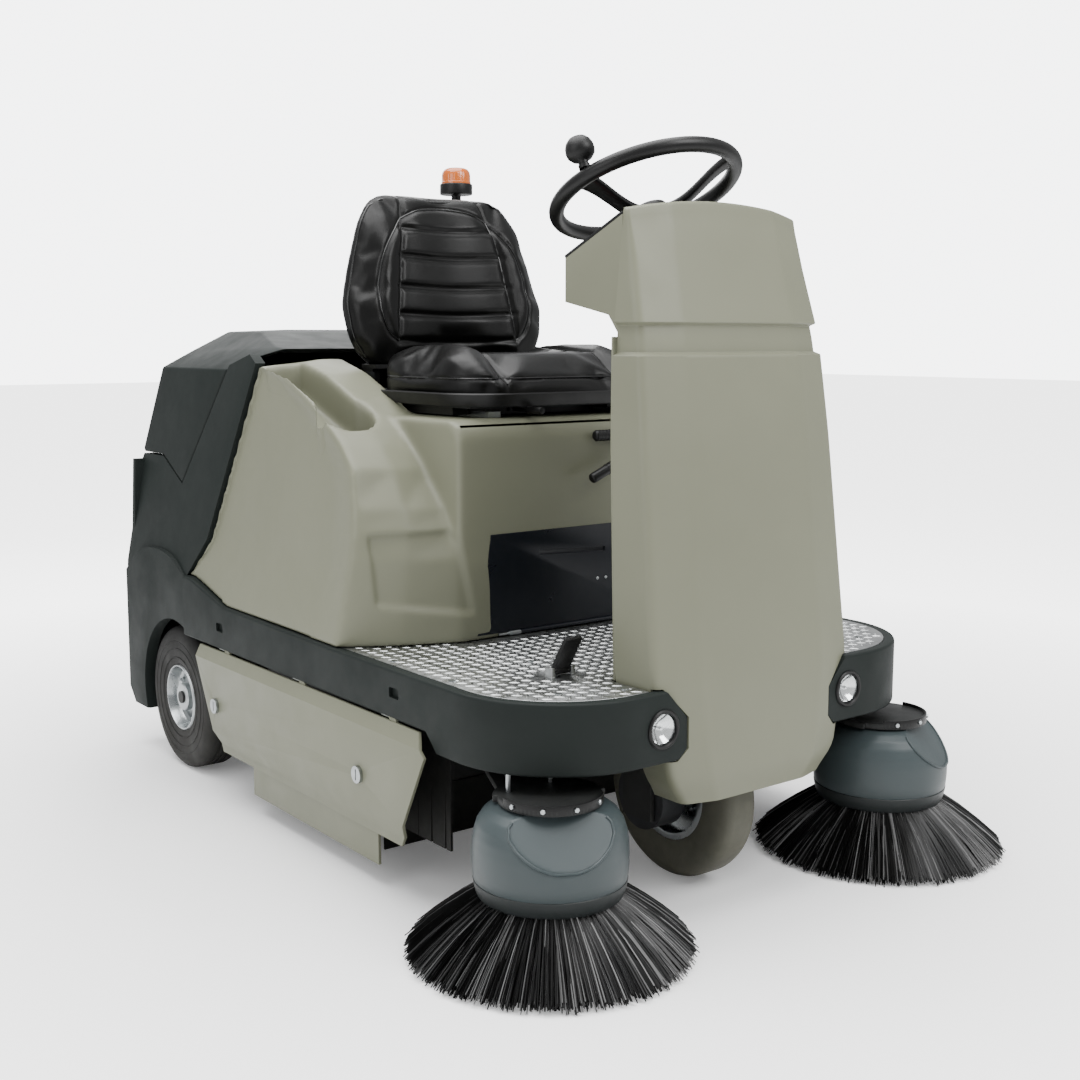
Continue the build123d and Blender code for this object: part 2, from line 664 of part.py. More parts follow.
with BuildPart() as broom_bristles:
    rod((-broom_half, broom_y, broom_z), (1, 0, 0), broom_r, 2 * broom_half)
    rod((-broom_half - 1, broom_y, broom_z), (1, 0, 0), core_r + 0.1, 2 * broom_half + 2, Mode.SUBTRACT)
save(broom_bristles, "broom_bristles")

# ---- side skirts with their flap strips ----
skirt_face = 548.0
latch_z = 222.0
latch_y = (-258.0, 390.0)
latch_r = 6.0
for name, side in sides:
    with BuildPart() as side_skirt:
        profile = [(524, 345), (530, 345), (skirt_face, 322), (skirt_face, 160), (534, 130), (534, 112),
                   (528, 112), (528, 131), (skirt_face - wall, 162), (skirt_face - wall, 320)]
        front_prism([(side * x, z) for x, z in profile], -500, 515)
        outline = [(skirt_front + 2, 346), (-492, 308), (-390, 111), (386, 111), (508, 346)]
        side_prism(outline, side * 500, side * 560, Mode.INTERSECT)
        for y in skirt_hinges:
            side_block(side, (521, 527), (y - skirt_knuckle, y - 0.5), (342, skirt_hinge_z))
            rod((side * skirt_hinge_x, y - skirt_knuckle, skirt_hinge_z), (0, 1, 0),
                skirt_knuckle_r, skirt_knuckle - 0.5)
            rod((side * skirt_hinge_x, y - skirt_knuckle - 1, skirt_hinge_z), (0, 1, 0),
                skirt_pin_r + running, skirt_knuckle + 2, Mode.SUBTRACT)
        for y in latch_y:
            side_rod(side, (skirt_face - 10, skirt_face + 1), y, latch_z, latch_r + running, Mode.SUBTRACT)
        side_block(side, (522, 528), (-295, 245), (45, 125))
    save(side_skirt, f"side_skirt_{name}")
    for place, y in zip(("front", "rear"), latch_y):
        with BuildPart() as skirt_latch:
            side_rod(side, (skirt_face - 14, skirt_face + 3), y, latch_z, latch_r)
            side_rod(side, (skirt_face + seat_gap, skirt_face + 7), y, latch_z, 17)
            side_block(side, (skirt_face - 14, skirt_face - 10), (y - 6, y + 30),
                       (latch_z - 6, latch_z + 6))
        save(skirt_latch, f"skirt_latch_{place}_{name}")

# ---- body cover ----
cup_x = 400.0
cup_y = 27.0
cup_r = 60.0
cup_floor = 780.0
tray_half = 43.0
door_half = 225.0
door_low = 452.0
door_high = 665.0
door_hinge_y = -247.0
door_hinge_z = 451.5
door_knuckles = (150.0, 180.0, 205.0)
lever_x = 170.0
lever_pin_r = 5.0
lever_1 = (-258.0, 853.0)
lever_2 = (-282.0, 831.0)
pod_top = [(-158, 620), (-125, 800), (-26, 874), (57, 921), (190, 974), (340, 998)]
pod = [(-142, deck_z)] + pod_top + [(504, 590), (598, deck_z + 50), (560, deck_z + 50), (380, deck_z + 7),
                                    (-140, deck_z)]
core_top = [(-152, 620), (-119, 797), (-22, 868), (59, 914), (191, 967), (342, 991)]
core = [(-136, deck_z - 1)] + core_top + [(700, 991), (700, deck_z - 1)]
under_tray = [(-136, deck_z - 1), (-152, 620), (-119, 797), (-50, 850), (-50, cup_floor - skin),
              (95, cup_floor - skin), (95, 840), (120, 850), (320, 925), (342, 991), (700, 991),
              (700, deck_z - 1)]

with BuildPart() as pod_cores:
    for name, side in sides:
        side_prism(core, side * (pedestal_half + skin), side * (cup_x - tray_half - skin))
        side_prism(under_tray, side * (cup_x - tray_half - skin), side * (cup_x + tray_half + skin))
        side_prism(core, side * (cup_x + tray_half + skin), side * 540)
        lean = [(side * flank_at(400, skin), 400), (side * flank_at(1100, skin), 1100),
                (side * 600, 1100), (side * 600, 400)]
        front_prism(lean, -300, 720, Mode.SUBTRACT)

with BuildPart() as body_cover:
    for name, side in sides:
        side_prism(pod, side * pedestal_half, side * body_half)
        lean = [(side * flank_at(400), 400), (side * flank_at(1100), 1100),
                (side * 600, 1100), (side * 600, 400)]
        front_prism(lean, -300, 700, Mode.SUBTRACT)
        side_block(side, (pedestal_half - 1, pedestal_half + 60), (-190, 0), (deck_z, 760))
    block((-pedestal_half, pedestal_front, deck_z), (pedestal_half, pedestal_rear, seat_deck))
    add(pod_cores.part, mode=Mode.SUBTRACT)
    inner_half = pedestal_half + skin
    block((-inner_half, pedestal_front + skin, deck_z - 1),
          (inner_half, pedestal_rear - skin, seat_deck - skin), Mode.SUBTRACT)
    for name, side in sides:
        side_block(side, (pedestal_half - 2, pedestal_half + skin + 1), (pedestal_rear, 720),
                   (400, 1100), Mode.SUBTRACT)
        rod((side * cup_x, cup_y, cup_floor), (0, 0, 1), cup_r, 400, Mode.SUBTRACT)
        tray = [(cup_y, 832), (120, 862), (310, 935), (310, 1100), (cup_y, 1100)]
        side_prism(tray, side * (cup_x - tray_half), side * (cup_x + tray_half), Mode.SUBTRACT)
    block((-door_half + 10, pedestal_front - 1, door_low + 6), (door_half - 10, pedestal_front + skin + 1,
                                                              door_high - 10), Mode.SUBTRACT)
    for name, side in sides:
        side_block(side, door_knuckles[:2], (door_hinge_y, pedestal_front + 1), (447, 456))
        side_rod(side, door_knuckles[:2], door_hinge_y, door_hinge_z, 5)
        side_rod(side, door_knuckles[1:], door_hinge_y, door_hinge_z, 2.5)
    for y, z in (lever_1, lever_2):
        rod((lever_x, pedestal_front + 1, z), (0, -1, 0), lever_pin_r, pedestal_front + 1 - y + 8)
save(body_cover, "body_cover")

with BuildPart() as front_door:
    block((-door_half, pedestal_front - 6.3, door_low), (door_half, pedestal_front - seat_gap, door_high))
    block((-90, pedestal_front - 7, 600), (74, pedestal_front - 3, 622), Mode.SUBTRACT)
    for name, side in sides:
        side_block(side, (door_knuckles[0] - 1, door_knuckles[1] + 0.5),
                   (pedestal_front - 20, pedestal_front), (440, 458), Mode.SUBTRACT)
        side_rod(side, (door_knuckles[1] + 0.5, door_knuckles[2]), door_hinge_y, door_hinge_z, 5)
        side_rod(side, (door_knuckles[1] - 5, door_knuckles[2] + 5), door_hinge_y, door_hinge_z,
                 2.5 + running, Mode.SUBTRACT)
save(front_door, "front_door")

# ---- hand levers ----
for name, place, tilt, reach in (("lever_brushes", lever_1, 0.0, (59, 131)),
                                 ("lever_flap", lever_2, 23.0, (85, 172))):
    y, z = place
    way = (-cos(radians(tilt)), 0, -sin(radians(tilt)))
    centre = (lever_x, y, z)
    with BuildPart() as lever:
        rod((lever_x, y - 6, z), (0, 1, 0), 10, 12)
        rod(along(centre, way, 7), way, 5, reach[0])
        rod(along(centre, way, reach[0]), way, 11, reach[1] - reach[0])
        fillet(lever.edges().filter_by(GeomType.CIRCLE).sort_by(Axis.X)[0], radius=6)
        rod((lever_x, y - 10, z), (0, 1, 0), lever_pin_r + running, 20, Mode.SUBTRACT)
    save(lever, name)

with BuildPart() as battery_pack:
    block((-200, -150, deck_z), (200, 280, 800))
    fillet(battery_pack.edges().filter_by(Axis.Z), radius=12)
save(battery_pack, "battery_pack")

# ---- rear shells ----
shell_wall = 5.0
lean_from = 486.0
shell = [(603, 112), (603, 492), (508, 592), (345, 1002), (380, 1022), (480, 996), (680, 706),
         (809, 766), (930, 766), (940, 750), (978, 460), (tail_y, 150), (940, 112)]
back_wall = [(plate_rear_y, 150), (tail_y, 150), (978, 460), (941, 750), (935, 750), (plate_rear_y, 460)]
for name, side in sides:
    with BuildPart() as rear_shell:
        low = flank_at(lean_from)
        band = [(low, 100), (low, lean_from), (flank_at(1040), 1040), (flank_at(1040, shell_wall), 1040),
                (low - shell_wall, lean_from), (low - shell_wall, 100)]
        front_prism([(side * x, z) for x, z in band], 300, 990)
        side_prism(shell, side * 400, side * 540, Mode.INTERSECT)
        side_rod(side, (400, 560), rear_y, 180, arch_r, Mode.SUBTRACT)
        side_prism(back_wall, side * side_plate_out, side * (low - 20))
        side_block(side, (low - 21, low - 1), (plate_rear_y, tail_y - 2), (150, 460))
        side_block(side, (side_plate_out, flank_at(shelf_z, 2)), (600, 930), (shelf_z - 6, shelf_z))
    save(rear_shell, f"rear_shell_{name}")

# ---- suction fan and hopper ----
with BuildPart() as suction_fan:
    rod((0, fan_y, shelf_z + skin), (0, 0, 1), 95, 90)
    rod((0, fan_y, shelf_z + skin + 90), (0, 0, 1), 50, 70)
    block((0, fan_y - 95, shelf_z + skin), (150, fan_y - 35, shelf_z + skin + 80))
    rod((0, fan_y, shelf_z), (0, 0, 1), 60, 60, Mode.SUBTRACT)
save(suction_fan, "suction_fan")

hopper_wall = 4.0
panel_rear = (plate_rear_y + 1.5, tail_y)
with BuildPart() as hopper:
    block((-hopper_half, hopper_front, hopper_z), (hopper_half, panel_rear[0], flange_z + wall))
    block((hopper_wall - hopper_half, hopper_front + hopper_wall, hopper_z + hopper_wall),
          (hopper_half - hopper_wall, panel_rear[0] - hopper_wall, flange_z + wall + 1), Mode.SUBTRACT)
    block((-340, hopper_front - 1, 150), (340, hopper_front + hopper_wall + 1, 345), Mode.SUBTRACT)
    for name, side in sides:
        side_block(side, (hopper_half - 1, side_plate_x - 1), (hopper_front, 930), (flange_z, flange_z + wall))
    block((-388, panel_rear[0], 128), (388, panel_rear[1], 632))
    block((-110, panel_rear[1] - 5, 420), (110, panel_rear[1] + 1, 462), Mode.SUBTRACT)
save(hopper, "hopper")

# ---- rear hood and beacon ----
hood_side = [(352, 1034), (420, 1040), (600, 1072), (790, 1080), (866, 988), (938, 778), (930, 770),
             (811, 770), (683, 711), (484, 1000), (384, 1026)]
hood_front = [(flank_at(700), 700), (flank_at(985), 985), (383, 1026), (pedestal_half, 1074), (0, 1085)]
hood_cut = [(357, 900), (357, 1029), (421, 1034.5), (601, 1066.5), (787, 1074.5), (861, 986),
            (932, 778), (925, 690), (600, 690)]
boss_top = 1056.0


def mirrored(points):
    """An XZ outline of points on +X, closed with its mirror image."""
    return points + [(-x, z) for x, z in reversed(points) if x > 0]


with BuildPart() as hood_core:
    side_prism(hood_cut, -500, 500)
    cut_front = [(flank_at(680, shell_wall), 680), (flank_at(983, shell_wall), 983), (380, 1021),
                 (298, 1069), (0, 1080)]
    front_prism(mirrored(cut_front), 300, 1000, Mode.INTERSECT)

with BuildPart() as rear_hood:
    side_prism(hood_side, -500, 500)
    front_prism(mirrored(hood_front), 300, 1000, Mode.INTERSECT)
    add(hood_core.part, mode=Mode.SUBTRACT)
    rod((beacon_x, beacon_y, 1047), (0, 0, 1), 30, boss_top - 1047)
    for name, side in sides:
        side_block(side, (knuckle_x[1] + 0.5, knuckle_x[2]), (933, hinge_y), (hinge_z + 2, hinge_z + 14))
        side_rod(side, (knuckle_x[1] + 0.5, knuckle_x[2]), hinge_y, hinge_z, knuckle_r)
        side_rod(side, (knuckle_x[1] - 1, knuckle_x[2] + 1), hinge_y, hinge_z, pin_r + running, Mode.SUBTRACT)
save(rear_hood, "rear_hood")

with BuildPart() as beacon_post:
    rod((beacon_x, beacon_y, boss_top), (0, 0, 1), 26, 6)
    rod((beacon_x, beacon_y, boss_top), (0, 0, 1), 12, beacon_z - boss_top)
    rod((beacon_x, beacon_y, beacon_z), (0, 0, 1), 41, beacon_base_t)
save(beacon_post, "beacon_post")

with BuildPart() as beacon_dome:
    rod((beacon_x, beacon_y, beacon_z + beacon_base_t), (0, 0, 1), 37, 40)
    fillet(beacon_dome.faces().sort_by(Axis.Z)[-1].edges(), radius=14)
save(beacon_dome, "beacon_dome")

# ---- seat ----
rail_t = 12.0
pan_z = 915.0
pan_t = 6.0
pan_half = 230.0
recline_pin_r = 8.0
with BuildPart() as seat_rails:
    for name, side in sides:
        side_block(side, (150, 180), (-180, 260), (seat_deck, seat_deck + rail_t))
save(seat_rails, "seat_rails")

with BuildPart() as seat_pan:
    block((-pan_half, -185, pan_z), (pan_half, 265, pan_z + pan_t))
    for name, side in sides:
        side_block(side, (148, 182), (-170, 240), (seat_deck + rail_t + seat_gap, pan_z))
        side_block(side, (pan_half - 8, pan_half), (205, 250), (pan_z, recline_z + 22))
        side_rod(side, (201, pan_half - 8), recline_y, recline_z, recline_pin_r)
    rod((-100, -150, 905), (0, 0, 1), 4, 10)
save(seat_pan, "seat_pan")

with BuildPart() as seat_slide_lever:
    rod((-100, -150, 905.5), (0, 0, 1), 10, 9)
    rod((-100, -150, 910), (0, -1, 0), 4, 60)
    rod((-100, -208, 910), (0, -1, 0), 7, 50)
    rod((-100, -150, 900), (0, 0, 1), 4 + running, 20, Mode.SUBTRACT)
save(seat_slide_lever, "seat_slide_lever")

with BuildPart() as seat_cushion:
    block((-cushion_half, -225, pan_z + pan_t), (cushion_half, 190, 1043))
    fillet(seat_cushion.edges().filter_by(Axis.Z), radius=60)
    fillet(seat_cushion.faces().sort_by(Axis.Z)[-1].edges(), radius=30)
save(seat_cushion, "seat_cushion")

with BuildPart() as seat_back:
    back = [(200, 990), (212, 1120), (262, 1385), (285, 1396), (318, 1385), (300, 1150), (266, 990)]
    side_prism(back, -300, 300)
    outline = [(225, 980), (268, 1060), (277, 1130), (250, 1230), (222, 1320), (190, 1375), (150, 1398)]
    front_prism(mirrored(outline), 100, 400, Mode.INTERSECT)
    for name, side in sides:
        side_block(side, (203, 221.5), (215, 260), (940, 1010))
        side_rod(side, (195, 225), recline_y, recline_z, recline_pin_r + running, Mode.SUBTRACT)
save(seat_back, "seat_back")

# ---- pedals ----
for name, side in (("accelerator_pedal", -1), ("brake_pedal", 1)):
    with BuildPart() as pedal:
        side_rod(side, (pedal_x - pedal_w / 2, pedal_x + pedal_w / 2), pedal_y, pedal_z, 8)
        plate = [(pedal_y - 4, pedal_z), (pedal_y + 4, pedal_z + 5), (pedal_y - 36, pedal_z + 68),
                 (pedal_y - 42, pedal_z + 64)]
        side_prism(plate, side * (pedal_x - pedal_w / 2), side * (pedal_x + pedal_w / 2))
        side_rod(side, (pedal_x - pedal_w, pedal_x + pedal_w), pedal_y, pedal_z,
                 pedal_pin_r + running, Mode.SUBTRACT)
    save(pedal, name)

# ---- screws that hold the tread plate down ----
screw_spots = [(490, -500), (490, -300), (281, -735), (395, -690), (281, -460)]
with BuildPart() as fasteners:
    for name, side in sides:
        for x, y in screw_spots:
            rod((side * x, y, deck_z), (0, 0, 1), 7, 2)
save(fasteners, "fasteners")
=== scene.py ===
import bmesh
import bpy
import json
import math
import random
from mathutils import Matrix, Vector
from mathutils.bvhtree import BVHTree


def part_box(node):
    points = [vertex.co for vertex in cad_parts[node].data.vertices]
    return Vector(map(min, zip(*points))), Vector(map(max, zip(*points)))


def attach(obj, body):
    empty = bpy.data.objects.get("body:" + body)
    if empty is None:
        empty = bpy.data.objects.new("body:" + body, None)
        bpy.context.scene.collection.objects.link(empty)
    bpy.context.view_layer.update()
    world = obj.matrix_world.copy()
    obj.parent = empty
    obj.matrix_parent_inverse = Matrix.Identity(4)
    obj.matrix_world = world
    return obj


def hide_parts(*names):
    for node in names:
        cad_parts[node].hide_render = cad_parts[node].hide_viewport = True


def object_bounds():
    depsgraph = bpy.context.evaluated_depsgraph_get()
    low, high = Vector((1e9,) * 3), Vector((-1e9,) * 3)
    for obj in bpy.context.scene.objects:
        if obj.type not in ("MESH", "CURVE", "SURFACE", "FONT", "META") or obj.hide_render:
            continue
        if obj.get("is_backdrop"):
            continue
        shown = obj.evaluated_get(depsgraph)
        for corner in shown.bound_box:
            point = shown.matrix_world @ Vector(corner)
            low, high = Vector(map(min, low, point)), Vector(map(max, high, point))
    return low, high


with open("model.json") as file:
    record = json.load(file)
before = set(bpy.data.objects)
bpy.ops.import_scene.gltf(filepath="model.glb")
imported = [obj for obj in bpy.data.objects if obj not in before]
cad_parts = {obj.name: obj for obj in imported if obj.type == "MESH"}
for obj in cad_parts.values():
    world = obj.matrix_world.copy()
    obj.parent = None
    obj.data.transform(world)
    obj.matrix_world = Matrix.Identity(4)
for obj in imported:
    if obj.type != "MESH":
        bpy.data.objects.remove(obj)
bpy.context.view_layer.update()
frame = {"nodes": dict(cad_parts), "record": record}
nodes = frame["nodes"]
scene = bpy.context.scene
print("frame loaded:", len(nodes), "nodes")

# names of the two sides, with the sign of x on each
bothSides = (("right", -1), ("left", 1))


# ---------- small mesh helpers

def meshPiece(name, points, faces):
    mesh = bpy.data.meshes.new(name)
    mesh.from_pydata([tuple(p) for p in points], [], faces)
    mesh.update()
    piece = bpy.data.objects.new(name, mesh)
    scene.collection.objects.link(piece)
    return piece


def cleanNormals(piece, merge=0.00005):
    work = bmesh.new()
    work.from_mesh(piece.data)
    bmesh.ops.remove_doubles(work, verts=work.verts, dist=merge)
    bmesh.ops.recalc_face_normals(work, faces=work.faces)
    work.to_mesh(piece.data)
    work.free()


def smoothShade(piece, angle=38):
    limit = math.radians(angle)
    work = bmesh.new()
    work.from_mesh(piece.data)
    for face in work.faces:
        face.smooth = True
    for edge in work.edges:
        edge.smooth = len(edge.link_faces) == 2 and edge.calc_face_angle(0) < limit
    work.to_mesh(piece.data)
    work.free()


def bakeModifiers(piece):
    # the evaluated mesh replaces the piece's own, and its modifiers go
    graph = bpy.context.evaluated_depsgraph_get()
    mesh = bpy.data.meshes.new_from_object(piece.evaluated_get(graph))
    old = piece.data
    piece.modifiers.clear()
    piece.data = mesh
    mesh.name = piece.name
    bpy.data.meshes.remove(old)


def roundEdges(piece, width, segments=3, angle=28):
    bevel = piece.modifiers.new("edges", "BEVEL")
    bevel.width = width
    bevel.segments = segments
    bevel.limit_method = "ANGLE"
    bevel.angle_limit = math.radians(angle)
    bevel.use_clamp_overlap = True
    bevel.harden_normals = False
    bakeModifiers(piece)


def cutWith(piece, cutter, operation="DIFFERENCE"):
    cut = piece.modifiers.new("cut", "BOOLEAN")
    cut.operation = operation
    cut.object = cutter
    cut.solver = "EXACT"
    bakeModifiers(piece)
    bpy.data.objects.remove(cutter)


def joinPieces(first, others):
    work = bmesh.new()
    work.from_mesh(first.data)
    for other in others:
        work.from_mesh(other.data)
        bpy.data.objects.remove(other)
    work.to_mesh(first.data)
    work.free()
    return first


def nodeCopy(node, name):
    # a merged copy of a frame node, with its flat faces made whole again
    piece = bpy.data.objects.new(name, nodes[node].data.copy())
    scene.collection.objects.link(piece)
    piece.data.materials.clear()
    work = bmesh.new()
    work.from_mesh(piece.data)
    bmesh.ops.remove_doubles(work, verts=work.verts, dist=0.00005)
    bmesh.ops.dissolve_limit(work, angle_limit=math.radians(1.0), verts=work.verts, edges=work.edges)
    bmesh.ops.recalc_face_normals(work, faces=work.faces)
    work.to_mesh(piece.data)
    work.free()
    return piece


def finishPiece(piece, material, body, slotName, *replaced):
    piece.data.materials.clear()
    piece.data.materials.append(material)
    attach(piece, body)
    if replaced:
        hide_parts(*replaced)
    return piece


def prism(name, outline, axis, low, high):
    # a closed block with its outline in the plane across the axis
    def place(a, b, c):
        return {"X": (c, a, b), "Y": (a, c, b), "Z": (a, b, c)}[axis]
    count = len(outline)
    points = [place(a, b, low) for a, b in outline] + [place(a, b, high) for a, b in outline]
    faces = [list(range(count))[::-1], list(range(count, 2 * count))]
    faces += [[i, (i + 1) % count, count + (i + 1) % count, count + i] for i in range(count)]
    piece = meshPiece(name, points, faces)
    cleanNormals(piece)
    return piece


def box(name, low, high):
    outline = [(low[0], low[1]), (high[0], low[1]), (high[0], high[1]), (low[0], high[1])]
    return prism(name, outline, "Z", low[2], high[2])


def tubeSkin(name, rings, closed=False, caps=True):
    # quads between rings of points; every ring has as many points
    count = len(rings[0])
    points = [p for ring in rings for p in ring]
    faces = []
    for r in range(len(rings) - (0 if closed else 1)):
        after = (r + 1) % len(rings)
        for i in range(count):
            j = (i + 1) % count
            faces.append([r * count + i, r * count + j, after * count + j, after * count + i])
    if caps and not closed:
        faces.append(list(range(count))[::-1])
        faces.append([(len(rings) - 1) * count + i for i in range(count)])
    piece = meshPiece(name, points, faces)
    cleanNormals(piece)
    return piece


def turned(name, profile, centre, axis, steps=48, closed=False, shape=None):
    # (radius, height) pairs swept round an axis; shape(angle, radius, height) may change the radius
    axis = Vector(axis).normalized()
    side = axis.orthogonal().normalized()
    if abs(axis.z) > 0.9:
        side = Vector((1, 0, 0)) - axis * axis.x
        side.normalize()
    across = axis.cross(side)
    centre = Vector(centre)
    rings = []
    for step in range(steps):
        angle = 2 * math.pi * step / steps
        ring = []
        for radius, height in profile:
            r = shape(angle, radius, height) if shape else radius
            ring.append(centre + axis * height + (side * math.cos(angle) + across * math.sin(angle)) * r)
        rings.append(ring)
    count = len(profile)
    points = [p for ring in rings for p in ring]
    faces = []
    for r in range(steps):
        after = (r + 1) % steps
        for i in range(count if closed else count - 1):
            j = (i + 1) % count
            faces.append([r * count + i, r * count + j, after * count + j, after * count + i])
    if not closed:
        for i, face in ((0, 1), (count - 1, -1)):
            if profile[i][0] > 0.0002:
                faces.append([r * count + i for r in range(steps)][::face])
    piece = meshPiece(name, points, faces)
    cleanNormals(piece)
    return piece


def smoothCurve(points, steps=8, closed=False):
    # points on a Catmull-Rom line through the given ones
    points = [Vector(p) for p in points]
    count = len(points)
    line = []
    for i in range(count if closed else count - 1):
        if closed:
            a, b, c, d = (points[(i + k) % count] for k in (-1, 0, 1, 2))
        else:
            a, b, c, d = points[max(i - 1, 0)], points[i], points[i + 1], points[min(i + 2, count - 1)]
        for step in range(steps):
            t = step / steps
            line.append(0.5 * (2 * b + (c - a) * t + (2 * a - 5 * b + 4 * c - d) * t * t
                               + (3 * b - a - 3 * c + d) * t * t * t))
    if not closed:
        line.append(points[-1])
    return line


def strip(name, line, radius, sides=8, closed=False, flat=1.0, up=(0, 0, 1)):
    # a round or flattened bar along a line of points
    rings = []
    count = len(line)
    for i, point in enumerate(line):
        if closed:
            run = line[(i + 1) % count] - line[i - 1]
        else:
            run = line[min(i + 1, count - 1)] - line[max(i - 1, 0)]
        run.normalize()
        across = run.cross(Vector(up)).normalized()
        rise = across.cross(run)
        rings.append([point + across * math.cos(a) * radius + rise * math.sin(a) * radius * flat
                      for a in (2 * math.pi * k / sides for k in range(sides))])
    return tubeSkin(name, rings, closed=closed)


def ease(low, high, value):
    t = min(1.0, max(0.0, (value - low) / (high - low)))
    return t * t * (3 - 2 * t)


def between(table, key):
    # linear reading of a table of (key, value, ...) rows
    if key <= table[0][0]:
        return table[0][1:]
    for low, high in zip(table, table[1:]):
        if key <= high[0]:
            t = (key - low[0]) / (high[0] - low[0])
            return tuple(a + (b - a) * t for a, b in zip(low[1:], high[1:]))
    return table[-1][1:]


# ---------- materials

def newSurface(name, look):
    # colour drifts between two tones, the grain is a bump, and roughness varies
    material = bpy.data.materials.new(name)
    material.use_nodes = True
    tree = material.node_tree
    shader = tree.nodes["Principled BSDF"]
    shader.inputs["Metallic"].default_value = look.get("metal", 0.0)
    shader.inputs["IOR"].default_value = look.get("ior", 1.48)
    shader.inputs["Coat Weight"].default_value = look.get("coat", 0.0)
    shader.inputs["Coat Roughness"].default_value = look.get("coatRough", 0.2)
    shader.inputs["Specular IOR Level"].default_value = look.get("specular", 0.5)
    place = tree.nodes.new("ShaderNodeTexCoord")
    stretch = tree.nodes.new("ShaderNodeMapping")
    stretch.inputs["Scale"].default_value = look.get("stretch", (1, 1, 1))
    tree.links.new(place.outputs["Object"], stretch.inputs["Vector"])

    def noise(scale, detail, rough=0.55):
        cloud = tree.nodes.new("ShaderNodeTexNoise")
        cloud.inputs["Scale"].default_value = scale
        cloud.inputs["Detail"].default_value = detail
        cloud.inputs["Roughness"].default_value = rough
        tree.links.new(stretch.outputs["Vector"], cloud.inputs["Vector"])
        return cloud

    drift = noise(look.get("driftScale", 5.0), 5)
    tones = tree.nodes.new("ShaderNodeValToRGB")
    tones.color_ramp.elements[0].position = 0.3
    tones.color_ramp.elements[1].position = 0.7
    tones.color_ramp.elements[0].color = (*look["colour"], 1)
    tones.color_ramp.elements[1].color = (*look.get("second", look["colour"]), 1)
    tree.links.new(drift.outputs["Fac"], tones.inputs["Fac"])
    colour = tones.outputs["Color"]

    if "dust" in look:
        # dust settles near the floor
        split = tree.nodes.new("ShaderNodeSeparateXYZ")
        tree.links.new(place.outputs["Object"], split.inputs["Vector"])
        fade = tree.nodes.new("ShaderNodeMapRange")
        fade.inputs["From Min"].default_value = look["dustHeight"]
        fade.inputs["From Max"].default_value = 0.0
        fade.inputs["To Max"].default_value = look["dustAmount"]
        tree.links.new(split.outputs["Z"], fade.inputs["Value"])
        patch = noise(look.get("dustScale", 40.0), 6, 0.7)
        amount = tree.nodes.new("ShaderNodeMath")
        amount.operation = "MULTIPLY"
        tree.links.new(fade.outputs["Result"], amount.inputs[0])
        tree.links.new(patch.outputs["Fac"], amount.inputs[1])
        mix = tree.nodes.new("ShaderNodeMix")
        mix.data_type = "RGBA"
        mix.inputs["B"].default_value = (*look["dust"], 1)
        tree.links.new(amount.outputs["Value"], mix.inputs["Factor"])
        tree.links.new(colour, mix.inputs["A"])
        colour = mix.outputs["Result"]

    if "strand" in look:
        # strands whose share passes the threshold are painted pale as painted highlights, standing in for glints on
        # glossy dark filaments; the rest keep the dark filament colour
        tint = tree.nodes.new("ShaderNodeAttribute")
        tint.attribute_name = "tint"
        share = tree.nodes.new("ShaderNodeValToRGB")
        share.color_ramp.elements[0].position = look["strandFrom"]
        share.color_ramp.elements[0].color = (*look["colour"], 1)
        share.color_ramp.elements[1].color = (*look["strand"], 1)
        tree.links.new(tint.outputs["Fac"], share.inputs["Fac"])
        colour = share.outputs["Color"]
    tree.links.new(colour, shader.inputs["Base Color"])

    polish = tree.nodes.new("ShaderNodeMapRange")
    polish.inputs["From Min"].default_value = 0.3
    polish.inputs["From Max"].default_value = 0.7
    polish.inputs["To Min"].default_value = look["rough"][0]
    polish.inputs["To Max"].default_value = look["rough"][1]
    tree.links.new(noise(look.get("polishScale", 14.0), 4).outputs["Fac"], polish.inputs["Value"])
    tree.links.new(polish.outputs["Result"], shader.inputs["Roughness"])

    height = noise(look["grainScale"], look.get("grainDetail", 3)).outputs["Fac"]
    if look.get("leather"):
        # cells of fine leather grain under the noise
        cells = tree.nodes.new("ShaderNodeTexVoronoi")
        cells.inputs["Scale"].default_value = look["leather"]
        tree.links.new(stretch.outputs["Vector"], cells.inputs["Vector"])
        sumUp = tree.nodes.new("ShaderNodeMath")
        sumUp.operation = "ADD"
        tree.links.new(height, sumUp.inputs[0])
        tree.links.new(cells.outputs["Distance"], sumUp.inputs[1])
        height = sumUp.outputs["Value"]
    bump = tree.nodes.new("ShaderNodeBump")
    bump.inputs["Strength"].default_value = look["grain"]
    bump.inputs["Distance"].default_value = look.get("grainDepth", 0.0006)
    tree.links.new(height, bump.inputs["Height"])
    tree.links.new(bump.outputs["Normal"], shader.inputs["Normal"])
    return material


